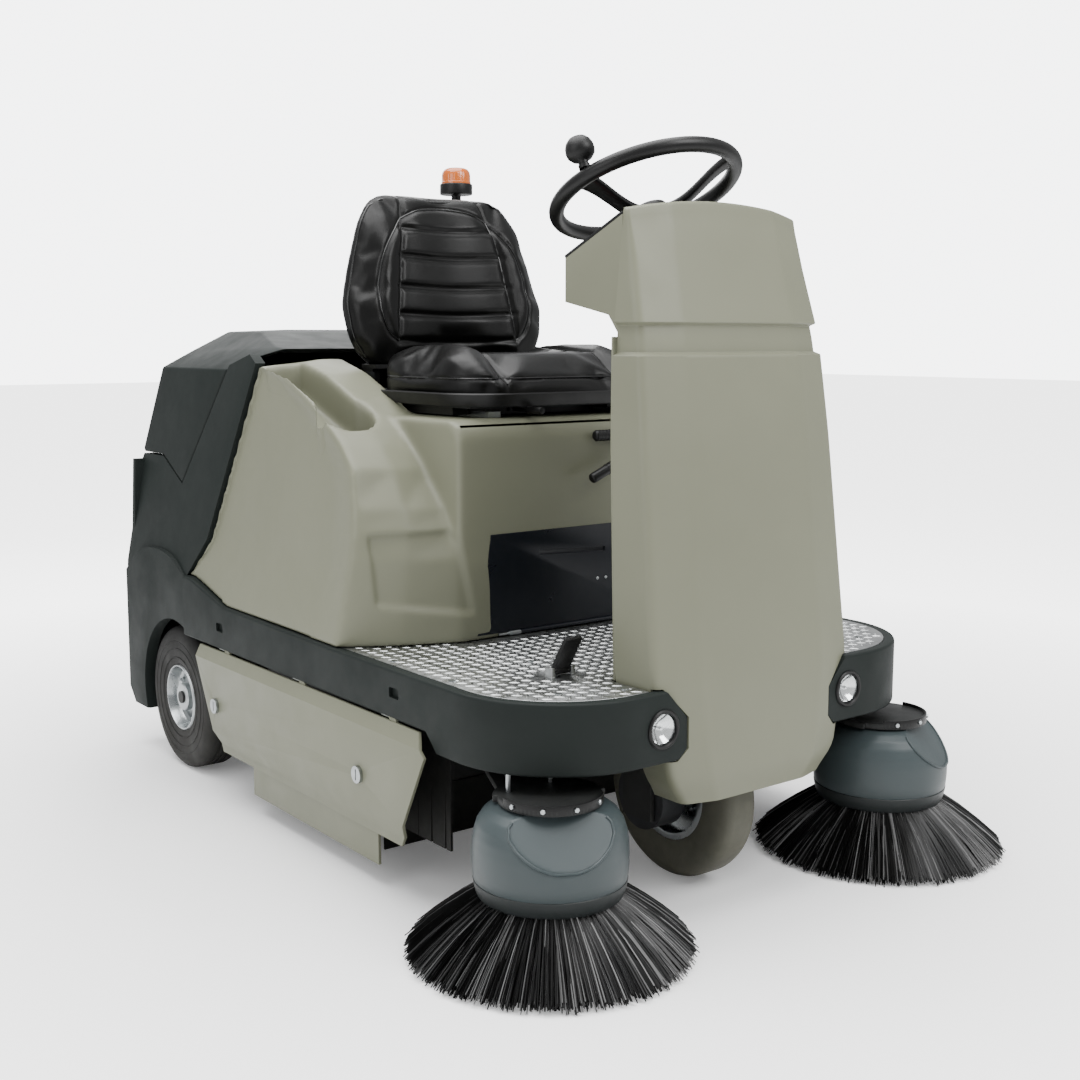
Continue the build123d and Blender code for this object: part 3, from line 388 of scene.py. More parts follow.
looks = {
    "beigePlastic": {"colour": (0.150, 0.154, 0.108), "second": (0.163, 0.167, 0.118), "rough": (0.40, 0.50),
                     "specular": 0.35,
                     "grainScale": 900.0, "grain": 0.12, "driftScale": 3.0},
    "darkPlastic": {"colour": (0.0085, 0.0115, 0.0105), "second": (0.0110, 0.0145, 0.0132), "rough": (0.52, 0.64),
                    "specular": 0.16,
                    "grainScale": 850.0, "grain": 0.16, "driftScale": 4.0},
    "slatePlastic": {"colour": (0.034, 0.046, 0.049), "second": (0.040, 0.053, 0.056), "rough": (0.36, 0.46),
                     "specular": 0.35,
                     "grainScale": 900.0, "grain": 0.12, "dust": (0.060, 0.060, 0.052), "dustHeight": 0.3,
                     "dustAmount": 0.35},
    "slateFoot": {"colour": (0.009, 0.012, 0.012), "second": (0.012, 0.015, 0.015), "rough": (0.40, 0.50),
                  "specular": 0.35,
                  "grainScale": 900.0, "grain": 0.12},
    "blackPlastic": {"colour": (0.0035, 0.0035, 0.0035), "second": (0.0055, 0.0055, 0.0055), "rough": (0.34, 0.46),
                     "specular": 0.28,
                     "grainScale": 700.0, "grain": 0.2},
    "doorPanel": {"colour": (0.0035, 0.0048, 0.0085), "second": (0.005, 0.0065, 0.0105), "rough": (0.26, 0.36),
                  "specular": 0.35,
                  "grainScale": 800.0, "grain": 0.1},
    "powderCoat": {"colour": (0.006, 0.007, 0.007), "second": (0.010, 0.011, 0.011), "rough": (0.42, 0.58),
                   "specular": 0.3,
                   "grainScale": 420.0, "grain": 0.25, "dust": (0.045, 0.042, 0.036), "dustHeight": 0.4,
                   "dustAmount": 0.5},
    "treadMetal": {"colour": (0.52, 0.53, 0.53), "second": (0.30, 0.31, 0.31), "metal": 1.0, "rough": (0.24, 0.42),
                   "grainScale": 260.0, "grain": 0.22, "driftScale": 22.0, "polishScale": 60.0},
    "zincSteel": {"colour": (0.42, 0.44, 0.44), "second": (0.32, 0.34, 0.35), "metal": 1.0, "rough": (0.22, 0.40),
                  "grainScale": 180.0, "grain": 0.18, "driftScale": 30.0},
    "blackTyre": {"colour": (0.006, 0.006, 0.006), "second": (0.010, 0.010, 0.009), "rough": (0.58, 0.78),
                  "specular": 0.3,
                  "grainScale": 320.0, "grain": 0.35, "dust": (0.050, 0.046, 0.038), "dustHeight": 0.35,
                  "dustAmount": 0.5},
    "greyTyre": {"colour": (0.045, 0.045, 0.032), "second": (0.070, 0.069, 0.050), "rough": (0.62, 0.82),
                 "grainScale": 240.0, "grain": 0.4, "driftScale": 16.0, "dust": (0.13, 0.125, 0.095),
                 "dustHeight": 0.3, "dustAmount": 0.7},
    "sheetRubber": {"colour": (0.004, 0.004, 0.004), "second": (0.007, 0.007, 0.0065), "rough": (0.55, 0.75),
                    "specular": 0.25,
                    "grainScale": 300.0, "grain": 0.3, "dust": (0.045, 0.045, 0.036), "dustHeight": 0.3,
                    "dustAmount": 0.4},
    "oliveRubber": {"colour": (0.050, 0.052, 0.036), "second": (0.070, 0.070, 0.050), "rough": (0.5, 0.7),
                    "grainScale": 300.0, "grain": 0.3},
    # the pale strand colour is a painted highlight: a share of strands is painted light to stand in for glints on the
    # glossy dark filaments
    "filament": {"colour": (0.003, 0.003, 0.003), "strand": (0.16, 0.16, 0.16), "strandFrom": 0.72, "specular": 0.3,
                 "rough": (0.26, 0.42), "grainScale": 400.0, "grain": 0.1},
    "brushCore": {"colour": (0.004, 0.004, 0.004), "second": (0.006, 0.006, 0.006), "rough": (0.6, 0.8),
                  "grainScale": 300.0, "grain": 0.3},
    "vinyl": {"colour": (0.0018, 0.0018, 0.0017), "second": (0.0026, 0.0026, 0.0024), "rough": (0.28, 0.40),
              "specular": 0.20,
              "grainScale": 500.0, "grain": 0.30, "grainDepth": 0.0005, "leather": 520.0, "coat": 0.04,
              "coatRough": 0.3},
    "vinylWelt": {"colour": (0.004, 0.004, 0.004), "second": (0.006, 0.006, 0.006), "rough": (0.20, 0.30),
                  "specular": 0.45,
                  "grainScale": 600.0, "grain": 0.2},
    "amberDome": {"colour": (0.52, 0.115, 0.004), "second": (0.44, 0.085, 0.003), "rough": (0.12, 0.2),
                  "grainScale": 200.0, "grain": 0.05, "coat": 0.6, "coatRough": 0.06},
    "redPlastic": {"colour": (0.34, 0.008, 0.006), "second": (0.28, 0.007, 0.005), "rough": (0.2, 0.3),
                   "grainScale": 500.0, "grain": 0.08, "coat": 0.3},
    "casting": {"colour": (0.022, 0.023, 0.025), "second": (0.032, 0.033, 0.035), "rough": (0.4, 0.6),
                "grainScale": 160.0, "grain": 0.4, "metal": 0.6},
    "batteryCase": {"colour": (0.012, 0.012, 0.013), "second": (0.017, 0.017, 0.018), "rough": (0.45, 0.6),
                    "grainScale": 500.0, "grain": 0.2},
    "mirrorBowl": {"colour": (0.80, 0.80, 0.80), "second": (0.72, 0.72, 0.72), "metal": 1.0, "rough": (0.08, 0.16),
                   "grainScale": 90.0, "grain": 0.1},
    "darkGap": {"colour": (0.003, 0.003, 0.003), "second": (0.004, 0.004, 0.004), "rough": (0.7, 0.9),
                "grainScale": 200.0, "grain": 0.1},
}
paint = {name: newSurface(name, look) for name, look in looks.items()}

glass = bpy.data.materials.new("clearLens")
glass.use_nodes = True
glassShader = glass.node_tree.nodes["Principled BSDF"]
glassShader.inputs["Base Color"].default_value = (0.94, 0.96, 0.96, 1)
glassShader.inputs["Roughness"].default_value = 0.04
glassShader.inputs["Transmission Weight"].default_value = 1.0
glassShader.inputs["IOR"].default_value = 1.45
paint["clearLens"] = glass

# the frame's own nodes take their finish from their slot
slotPaint = {"body_plastic": "beigePlastic", "dark_plastic": "darkPlastic", "slate_plastic": "slatePlastic",
             "black_plastic": "blackPlastic", "frame_paint": "powderCoat", "tread_aluminium": "treadMetal",
             "zinc_steel": "zincSteel", "grey_tyre": "greyTyre", "black_tyre": "blackTyre",
             "black_rubber": "sheetRubber", "bristle": "filament", "brush_core": "brushCore", "vinyl": "vinyl",
             "lens": "clearLens", "amber": "amberDome", "red_plastic": "redPlastic",
             "motor_casting": "casting", "battery_case": "batteryCase"}
for part in frame["record"]["subparts"]:
    held = nodes[part["node"]]
    for place in held.material_slots:
        place.material = paint[slotPaint[part["material_slot"]]]
print("materials made:", len(paint))


# ---------- geometry trees for what repeats

def repeatTree(name, inputs):
    tree = bpy.data.node_groups.new(name, "GeometryNodeTree")
    tree.interface.new_socket("Geometry", in_out="INPUT", socket_type="NodeSocketGeometry")
    tree.interface.new_socket("Geometry", in_out="OUTPUT", socket_type="NodeSocketGeometry")
    for label, kind, value in inputs:
        socket = tree.interface.new_socket(label, in_out="INPUT", socket_type="NodeSocket" + kind)
        if value is not None:
            socket.default_value = value
    start = tree.nodes.new("NodeGroupInput")
    end = tree.nodes.new("NodeGroupOutput")
    return tree, start, end


def runTree(host, tree, values):
    # the tree's result becomes the host's own mesh
    work = host.modifiers.new("repeat", "NODES")
    work.node_group = tree
    for item in tree.interface.items_tree:
        if item.in_out == "INPUT" and item.name in values:
            work[item.identifier] = values[item.name]
    bakeModifiers(host)
    return host


def endTree(tree, end, geometry, start):
    whole = tree.nodes.new("GeometryNodeRealizeInstances")
    dress = tree.nodes.new("GeometryNodeSetMaterial")
    tree.links.new(geometry, whole.inputs["Geometry"])
    tree.links.new(whole.outputs["Geometry"], dress.inputs["Geometry"])
    tree.links.new(start.outputs["Material"], dress.inputs["Material"])
    tree.links.new(dress.outputs["Geometry"], end.inputs["Geometry"])


def shapesOnPointsTree():
    # stands a copy of one shape on every point, turned by the points' own "turn" attribute
    tree, start, end = repeatTree("shapesOnPoints", [("Shape", "Object", None), ("Size", "Float", 1.0),
                                                     ("Material", "Material", None)])
    look = tree.nodes.new("GeometryNodeObjectInfo")
    tree.links.new(start.outputs["Shape"], look.inputs["Object"])
    turn = tree.nodes.new("GeometryNodeInputNamedAttribute")
    turn.data_type = "FLOAT_VECTOR"
    turn.inputs["Name"].default_value = "turn"
    spread = tree.nodes.new("GeometryNodeInstanceOnPoints")
    tree.links.new(start.outputs["Geometry"], spread.inputs["Points"])
    tree.links.new(look.outputs["Geometry"], spread.inputs["Instance"])
    tree.links.new(turn.outputs["Attribute"], spread.inputs["Rotation"])
    tree.links.new(start.outputs["Size"], spread.inputs["Scale"])
    endTree(tree, end, spread.outputs["Instances"], start)
    return tree


pointTree = shapesOnPointsTree()


def standShapes(name, shape, spots, size, material, keepShape=False):
    # spots are (place, (turnX, turnY, turnZ)) pairs
    piece = meshPiece(name, [p for p, turn in spots], [])
    turns = piece.data.attributes.new("turn", "FLOAT_VECTOR", "POINT")
    for i, (p, turn) in enumerate(spots):
        turns.data[i].vector = turn
    runTree(piece, pointTree, {"Shape": shape, "Size": size, "Material": material})
    if not keepShape:
        bpy.data.objects.remove(shape)
    return piece


def bristleTree():
    tree, start, end = repeatTree("bristles", [
        ("Count", "Int", 1000), ("Seed", "Int", 1), ("Root Radius", "Float", 0.08), ("Root Band", "Float", 0.03),
        ("Reach", "Float", 0.15), ("Droop", "Float", 0.1), ("Thickness", "Float", 0.001),
        ("Jitter", "Float", 0.1), ("Centre", "Vector", (0, 0, 0)), ("Material", "Material", None)])
    make, link = tree.nodes.new, tree.links.new

    def chance(low, high, offset):
        pick = make("FunctionNodeRandomValue")
        pick.data_type = "FLOAT"
        pick.inputs[2].default_value = low
        pick.inputs[3].default_value = high
        seed = make("ShaderNodeMath")
        seed.inputs[1].default_value = offset
        link(start.outputs["Seed"], seed.inputs[0])
        link(seed.outputs["Value"], pick.inputs["Seed"])
        return pick.outputs[1]

    def math2(kind, a, b):
        node = make("ShaderNodeMath")
        node.operation = kind
        for socket, value in ((0, a), (1, b)):
            if isinstance(value, (int, float)):
                node.inputs[socket].default_value = value
            else:
                link(value, node.inputs[socket])
        return node.outputs["Value"]

    angle = chance(0.0, 2 * math.pi, 0)
    depth = math2("ADD", start.outputs["Root Radius"], math2("MULTIPLY", chance(0.0, 1.0, 1),
                                                             start.outputs["Root Band"]))
    place = make("ShaderNodeCombineXYZ")
    link(math2("MULTIPLY", math2("COSINE", angle, 0.0), depth), place.inputs["X"])
    link(math2("MULTIPLY", math2("SINE", angle, 0.0), depth), place.inputs["Y"])
    dots = make("GeometryNodePoints")
    link(start.outputs["Count"], dots.inputs["Count"])
    link(place.outputs["Vector"], dots.inputs["Position"])

    bend = make("GeometryNodeCurveQuadraticBezier")
    bend.inputs["Resolution"].default_value = 4
    middle, tip = make("ShaderNodeCombineXYZ"), make("ShaderNodeCombineXYZ")
    link(math2("MULTIPLY", start.outputs["Reach"], 0.50), middle.inputs["X"])
    link(math2("MULTIPLY", start.outputs["Droop"], -0.36), middle.inputs["Z"])
    link(start.outputs["Reach"], tip.inputs["X"])
    link(math2("MULTIPLY", start.outputs["Droop"], -1.0), tip.inputs["Z"])
    bend.inputs["Start"].default_value = (0, 0, 0)
    link(middle.outputs["Vector"], bend.inputs["Middle"])
    link(tip.outputs["Vector"], bend.inputs["End"])
    ring = make("GeometryNodeCurvePrimitiveCircle")
    ring.inputs["Resolution"].default_value = 3
    link(start.outputs["Thickness"], ring.inputs["Radius"])
    skin = make("GeometryNodeCurveToMesh")
    link(bend.outputs["Curve"], skin.inputs["Curve"])
    link(ring.outputs["Curve"], skin.inputs["Profile Curve"])

    swing = make("ShaderNodeCombineXYZ")
    link(math2("MULTIPLY", chance(-0.5, 0.5, 2), start.outputs["Jitter"]), swing.inputs["Y"])
    link(math2("ADD", angle, math2("MULTIPLY", chance(-1.0, 1.0, 3), start.outputs["Jitter"])),
         swing.inputs["Z"])
    spread = make("GeometryNodeInstanceOnPoints")
    link(dots.outputs["Points"], spread.inputs["Points"])
    link(skin.outputs["Mesh"], spread.inputs["Instance"])
    link(swing.outputs["Vector"], spread.inputs["Rotation"])
    link(chance(0.90, 1.0, 4), spread.inputs["Scale"])
    # every strand draws a random share; in the material the highest shares are painted pale as painted highlights
    paintedGlintStore = make("GeometryNodeStoreNamedAttribute")
    paintedGlintStore.data_type = "FLOAT"
    paintedGlintStore.domain = "INSTANCE"
    paintedGlintStore.inputs["Name"].default_value = "tint"
    link(spread.outputs["Instances"], paintedGlintStore.inputs["Geometry"])
    link(chance(0.0, 1.0, 5), paintedGlintStore.inputs["Value"])
    move = make("GeometryNodeTransform")
    link(paintedGlintStore.outputs["Geometry"], move.inputs["Geometry"])
    link(start.outputs["Centre"], move.inputs["Translation"])
    endTree(tree, end, move.outputs["Geometry"], start)
    return tree


sweepTree = bristleTree()
print("geometry trees made")


# ---------- camera, light and floor

view = {"place": (-1.8796, -2.5853, 1.060), "pitch": 8.13, "heading": -37.31, "lens": 47.31}
cameraData = bpy.data.cameras.new("camera")
cameraData.lens = view["lens"]
cameraData.sensor_width = 36.0
cameraData.clip_end = 60.0
camera = bpy.data.objects.new("camera", cameraData)
camera.location = view["place"]
camera.rotation_euler = (math.radians(90 - view["pitch"]), 0, math.radians(view["heading"]))
scene.collection.objects.link(camera)
scene.camera = camera

studio = {
    "key": {"place": (0.9, -3.2, 3.4), "aim": (0, -0.3, 0.6), "size": 2.2, "power": 150},
    "top": {"place": (-0.5, 0.2, 4.2), "aim": (0, 0, 0.6), "size": 4.0, "power": 340},
    "left": {"place": (-3.6, -0.6, 2.0), "aim": (0, 0, 0.6), "size": 2.2, "power": 44},
    "back": {"place": (1.2, 3.4, 2.6), "aim": (0, 0, 0.7), "size": 2.4, "power": 60},
}
for name, lamp in studio.items():
    data = bpy.data.lights.new(name, "AREA")
    data.size = lamp["size"]
    data.energy = lamp["power"]
    light = bpy.data.objects.new(name, data)
    light.location = lamp["place"]
    light.rotation_euler = (Vector(lamp["aim"]) - Vector(lamp["place"])).to_track_quat("-Z", "Y").to_euler()
    scene.collection.objects.link(light)
world = bpy.data.worlds.new("studio")
world.use_nodes = True
world.node_tree.nodes["Background"].inputs["Color"].default_value = (0.95, 0.96, 0.97, 1)
# the backdrop is white to look at, and a softer fill to be lit by
ray = world.node_tree.nodes.new("ShaderNodeLightPath")
strength = world.node_tree.nodes.new("ShaderNodeMapRange")
strength.inputs["To Min"].default_value = 0.72
strength.inputs["To Max"].default_value = 6.0
world.node_tree.links.new(ray.outputs["Is Camera Ray"], strength.inputs["Value"])
world.node_tree.links.new(strength.outputs["Result"], world.node_tree.nodes["Background"].inputs["Strength"])
scene.world = world

floor = meshPiece("floor", [(-30, -30, 0), (30, -30, 0), (30, 30, 0), (-30, 30, 0)], [(0, 1, 2, 3)])
floorPaint = bpy.data.materials.new("paleFloor")
floorPaint.use_nodes = True
floorShader = floorPaint.node_tree.nodes["Principled BSDF"]
floorShader.inputs["Base Color"].default_value = (0.96, 0.96, 0.96, 1)
floorShader.inputs["Roughness"].default_value = 0.7
floorShader.inputs["Emission Color"].default_value = (1, 1, 1, 1)
# far from the object the floor glows, so it runs into the backdrop with no line
floorPlace = floorPaint.node_tree.nodes.new("ShaderNodeTexCoord")
floorReach = floorPaint.node_tree.nodes.new("ShaderNodeVectorMath")
floorReach.operation = "LENGTH"
floorGlow = floorPaint.node_tree.nodes.new("ShaderNodeMapRange")
for socket, value in (("From Min", 0.9), ("From Max", 3.0), ("To Min", 0.12), ("To Max", 3.0)):
    floorGlow.inputs[socket].default_value = value
floorPaint.node_tree.links.new(floorPlace.outputs["Object"], floorReach.inputs[0])
floorPaint.node_tree.links.new(floorReach.outputs["Value"], floorGlow.inputs["Value"])
# only the view sees that glow: it throws no light on the machine
floorRay = floorPaint.node_tree.nodes.new("ShaderNodeLightPath")
floorSeen = floorPaint.node_tree.nodes.new("ShaderNodeMath")
floorSeen.operation = "MULTIPLY"
floorPaint.node_tree.links.new(floorGlow.outputs["Result"], floorSeen.inputs[0])
floorPaint.node_tree.links.new(floorRay.outputs["Is Camera Ray"], floorSeen.inputs[1])
floorPaint.node_tree.links.new(floorSeen.outputs["Value"], floorShader.inputs["Emission Strength"])
floor.data.materials.append(floorPaint)
floor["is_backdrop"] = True


def roundedLine(points, radii, steps=5, closed=False):
    # a polyline in a plane whose corners become short curves
    points = [Vector(p) for p in points]
    count = len(points)
    line = []
    for i, corner in enumerate(points):
        radius = radii[i] if isinstance(radii, (list, tuple)) else radii
        if radius <= 0 or (not closed and i in (0, count - 1)):
            line.append(corner)
            continue
        before, after = points[i - 1] - corner, points[(i + 1) % count] - corner
        reach = min(radius, 0.46 * before.length, 0.46 * after.length)
        first, last = corner + before.normalized() * reach, corner + after.normalized() * reach
        for step in range(steps + 1):
            t = step / steps
            line.append(first * (1 - t) ** 2 + corner * 2 * t * (1 - t) + last * t * t)
    return line


# ---------- column

column = {
    # height, half width, y of the edge, y of the rim
    "sections": [(0.225, 0.173, -0.778, -0.700), (0.262, 0.214, -0.790, -0.720), (0.445, 0.254, -0.782, -0.675),
                 (0.876, 0.243, -0.733, -0.650), (1.061, 0.234, -0.709, -0.640), (1.281, 0.212, -0.650, -0.640)],
    "crown": 0.020, "flatShare": 0.62, "edgeRound": 0.016, "facetRound": 0.010,
    "bandLow": 1.027, "bandHigh": 1.087, "bandDepth": 0.009, "topRise": 0.019, "lip": 0.012,
    "back": -0.640, "wall": 0.005, "rows": 90,
    # how many faces lie between two edges, by the row point that the run starts at
    "runParts": {0: 2, 9: 3, 18: 8, 27: 3, 36: 2},
    "bumperNotch": [(0.184, 0.335), (0.2055, 0.313), (0.30, 0.313), (0.30, 0.448), (0.236, 0.448), (0.184, 0.3925)],
}


def columnRow(z):
    low, high = column["sections"][0][0], column["sections"][-1][0]
    blend = 0.022
    rows = [between(column["sections"], min(high, max(low, z + s * blend))) for s in (-1, -0.5, 0, 0.5, 1)]
    half, edge, rim = (sum(r[k] for r in rows) / len(rows) for k in range(3))
    inset = column["bandDepth"] * ease(column["bandLow"], column["bandLow"] + 0.007, z) * (
        1 - ease(column["bandHigh"] - 0.007, column["bandHigh"], z))
    half -= inset
    edge += inset
    front = edge - column["crown"]
    flat = half * column["flatShare"]
    rim = max(rim, edge + 0.004)
    corners = [(-half, rim), (-half, edge), (-flat, front), (flat, front), (half, edge), (half, rim)]
    line = roundedLine([(x, y, 0) for x, y in corners],
                       [0, column["edgeRound"], column["facetRound"], column["facetRound"], column["edgeRound"], 0],
                       steps=8)
    # extra points on the straight runs, as many on every row
    full = []
    for i, (a, b) in enumerate(zip(line, line[1:])):
        parts = column["runParts"].get(i, 1)
        full += [a.lerp(b, k / parts) for k in range(parts)]
    return full + [line[-1]], half


def makeColumn():
    low, high = column["sections"][0][0], column["sections"][-1][0]
    heights = [low + (high - low) * k / column["rows"] for k in range(column["rows"] + 1)]
    for edge in (column["bandLow"], column["bandHigh"] - 0.007):
        heights += [edge + 0.007 * k / 5 for k in range(6)]
    heights = sorted(set(round(h, 5) for h in heights))
    rings = []
    for z in heights:
        line, half = columnRow(z)
        lift = column["topRise"] * ease(1.12, high, z)
        rings.append([Vector((p.x, p.y, z + lift * (1 - (p.x / half) ** 2))) for p in line])
    count = len(rings[0])
    top = rings[-1]
    for step in range(1, 6):
        turn = math.pi / 2 * step / 5
        rings.append([Vector((p.x * (1 - 0.004 * step), min(column["back"], p.y + column["lip"] * (1 - math.cos(turn))),
                              p.z + column["lip"] * 0.5 * math.sin(turn))) for p in top])
    rings.append([Vector((p.x, column["back"], p.z)) for p in rings[-1]])
    points = [p for ring in rings for p in ring]
    faces = [(r * count + i, r * count + i + 1, (r + 1) * count + i + 1, (r + 1) * count + i)
             for r in range(len(rings) - 1) for i in range(count - 1)]
    piece = meshPiece("columnFront", points, faces)
    work = bmesh.new()
    work.from_mesh(piece.data)
    bmesh.ops.remove_doubles(work, verts=work.verts, dist=0.00005)
    bmesh.ops.recalc_face_normals(work, faces=work.faces)
    if sum(f.normal.y * f.calc_area() for f in work.faces) > 0:
        bmesh.ops.reverse_faces(work, faces=work.faces)
    work.to_mesh(piece.data)
    work.free()
    wall = piece.modifiers.new("wall", "SOLIDIFY")
    wall.thickness = column["wall"]
    wall.offset = -1
    bakeModifiers(piece)
    for name, side in bothSides:
        notch = prism("notch", [(side * x, z) for x, z in column["bumperNotch"]], "Y", -0.84, -0.770)
        cutWith(piece, notch)
    smoothShade(piece, 32)
    finishPiece(piece, paint["beigePlastic"], "machine", "body_plastic", "column_front_cover")


makeColumn()

head = nodeCopy("column_rear_cover", "columnHead")
roundEdges(head, 0.004, 3, 25)
smoothShade(head, 40)
finishPiece(head, paint["beigePlastic"], "machine", "body_plastic", "column_rear_cover")
dash = nodeCopy("dash_panel", "dashPanel")
roundEdges(dash, 0.0015, 2, 30)
smoothShade(dash, 35)
finishPiece(dash, paint["blackPlastic"], "machine", "black_plastic", "dash_panel")
print("column made")


# ---------- body

body = {
    # front edge of the pod at its outer side, and where the same line runs further in (y, z)
    "outer": [(-0.134, 0.445), (-0.142, 0.500), (-0.150, 0.565), (-0.158, 0.624), (-0.158, 0.680), (-0.150, 0.723),
              (-0.125, 0.800), (-0.076, 0.843), (-0.026, 0.874), (0.057, 0.921), (0.190, 0.974), (0.300, 0.995)],
    "inner": [(-0.247, 0.445), (-0.247, 0.500), (-0.247, 0.560), (-0.247, 0.615), (-0.225, 0.665), (-0.194, 0.715),
              (-0.120, 0.792), (-0.075, 0.833), (-0.025, 0.874), (0.070, 0.928), (0.200, 0.983), (0.312, 1.012)],
    "rear": [(0.342, 0.995), (0.504, 0.590), (0.598, 0.495), (0.560, 0.495), (0.380, 0.452)],
    "innerX": 0.296, "midX": 0.38, "midPush": 0.012,
    "flankFoot": 0.524, "flankLean": 0.139, "deck": 0.445,
    "pedestalHalf": 0.300, "pedestalFront": -0.245, "pedestalRear": 0.330, "seatDeck": 0.895,
    "cupX": 0.400, "cupY": 0.027, "cupRadius": 0.060, "cupFloor": 0.780,
    "tray": [(0.027, 0.832), (0.120, 0.862), (0.310, 0.935), (0.310, 1.10), (0.027, 1.10)], "trayHalf": 0.043,
    "voxel": 0.0058, "smoothings": 7,
    "recess": [(0.470, 0.672), (0.456, 0.527), (0.262, 0.500), (0.300, 0.676)], "recessDepth": 0.009,
    "dish": 0.013, "doorBay": ((-0.216, -0.30, 0.456), (0.216, -0.150, 0.660)),
}


def flank(z, inset=0.0):
    return body["flankFoot"] - body["flankLean"] * (z - body["deck"]) - inset


def podBlock(side):
    rear = body["rear"]
    rings = []
    for share in (0.0, 0.5, 1.0, 1.35):
        ring = []
        for (yo, zo), (yi, zi) in zip(body["outer"], body["inner"]):
            x = flank(zo) + (body["innerX"] - flank(zo)) * share
            push = body["midPush"] * (1 - abs(2 * share - 1)) if share <= 1 else 0
            # lean the section in with the flank, and let the middle stand a little proud
            t = min(share, 1.0)
            ring.append(Vector((side * x, yo + (yi - yo) * t - push, zo + (zi - zo) * t)))
        for y, z in rear:
            x = flank(z) + (body["innerX"] - flank(z)) * share
            ring.append(Vector((side * x, y, z + (0.012 if z > 0.9 else 0) * min(share, 1))))
        rings.append(ring)
    return tubeSkin("pod", rings)


def makeBody():
    parts = []
    for name, side in bothSides:
        pod = podBlock(side)
        cup = turned("cup", [(body["cupRadius"], 0.0), (body["cupRadius"], 0.4)],
                     (side * body["cupX"], body["cupY"], body["cupFloor"]), (0, 0, 1), 56)
        cutWith(pod, cup)
        low, high = sorted((side * (body["cupX"] - body["trayHalf"]), side * (body["cupX"] + body["trayHalf"])))
        cutWith(pod, prism("tray", body["tray"], "X", low, high))
        parts.append(pod)
    half, front, rear, deck = (body[k] for k in ("pedestalHalf", "pedestalFront", "pedestalRear", "seatDeck"))
    profile = roundedLine([(front, 0.445, 0), (front, deck, 0), (rear, deck, 0), (rear, 0.445, 0)],
                          [0, 0.05, 0.02, 0], 6)
    pedestal = prism("pedestal", [(p.x, p.y) for p in profile], "X", -half, half)
    piece = joinPieces(pedestal, parts)
    piece.name = "bodyCover"
    cells = piece.modifiers.new("cells", "REMESH")
    cells.mode = "VOXEL"
    cells.voxel_size = body["voxel"]
    bakeModifiers(piece)
    work = bmesh.new()
    work.from_mesh(piece.data)
    for _ in range(body["smoothings"]):
        bmesh.ops.smooth_vert(work, verts=work.verts, factor=0.5, use_axis_x=True, use_axis_y=True, use_axis_z=True)
    work.normal_update()
    corners = body["recess"]
    for vert in work.verts:
        x, y, z = vert.co
        normal = vert.normal
        side = -1 if x < 0 else 1
        # a soft-edged recess pressed into the front wall
        if normal.y < -0.4 and z < 0.72:
            inside = 1.0
            for (ax, az), (bx, bz) in zip(corners, corners[1:] + corners[:1]):
                run = Vector((bx - ax, bz - az))
                away = (run.x * (z - az) - run.y * (abs(x) - ax)) / run.length
                inside *= ease(-0.003, 0.011, -away)
            vert.co.y += body["recessDepth"] * inside
        # the flank is dished, and flares out again at its foot and along its front edge
        if abs(normal.x) > 0.55 and abs(x) > 0.43 and normal.x * side > 0:
            frontEdge = between([(zz, yy) for yy, zz in body["outer"]], z)[0]
            dish = ease(0.0, 0.11, y - frontEdge) * ease(0.455, 0.62, z)
            vert.co.x -= side * body["dish"] * dish
    for _ in range(2):
        bmesh.ops.smooth_vert(work, verts=work.verts, factor=0.5, use_axis_x=True, use_axis_y=True, use_axis_z=True)
    work.to_mesh(piece.data)
    work.free()
    # the compartment under the seat, and the door's opening
    cutWith(piece, box("bay", (-0.286, -0.233, 0.40), (0.286, 0.318, 0.885)))
    cutWith(piece, box("doorway", *body["doorBay"]))
    thin = piece.modifiers.new("thin", "DECIMATE")
    thin.ratio = 0.55
    bakeModifiers(piece)
    smoothShade(piece, 50)
    finishPiece(piece, paint["beigePlastic"], "machine", "body_plastic", "body_cover")
    print("body made, faces:", len(piece.data.polygons))


makeBody()

# the body's small metal fittings, which the cover carries
fittings = {"hingeY": -0.247, "hingeZ": 0.4515, "knuckle": (0.150, 0.180), "pinEnd": 0.205,
            "leverX": 0.170, "levers": [(-0.258, 0.853), (-0.282, 0.831)]}
pins = []
for name, side in bothSides:
    start = side * fittings["knuckle"][0]
    pins.append(turned("pin", [(0.005, 0), (0.005, 0.030), (0.0025, 0.030), (0.0025, 0.055)],
                       (start, fittings["hingeY"], fittings["hingeZ"]), (side, 0, 0), 20))
for y, z in fittings["levers"]:
    pins.append(turned("pin", [(0.009, 0), (0.009, 0.004), (0.005, 0.005), (0.005, -y - 0.231)],
                       (fittings["leverX"], -0.239, z), (0, -1, 0), 24))
bodyPins = joinPieces(pins[0], pins[1:])
bodyPins.name = "bodyPins"
smoothShade(bodyPins)
finishPiece(bodyPins, paint["zincSteel"], "machine", "zinc_steel")


# ---------- bumper

bumper = {
    "end": 0.187, "front": -0.795, "half": 0.530, "corner": 0.230, "wall": 0.022, "rear": 0.600,
    "bottom": [(-1.0, 0.316), (-0.505, 0.316), (-0.470, 0.350), (1.0, 0.350)],
    "top": [(-1.0, 0.445), (-0.140, 0.445), (0.380, 0.452), (0.560, 0.495), (1.0, 0.495)],
    "round": 0.006, "lightX": 0.243, "lightZ": 0.379, "lightRadius": 0.0332,
    "slots": (-0.363, 0.398), "slotSize": (0.034, 0.020), "slotDepth": 0.008,
    "endCuts": [[(0.186, 0.391), (0.235, 0.446), (0.186, 0.446)], [(0.186, 0.336), (0.207, 0.315), (0.186, 0.315)]],
}


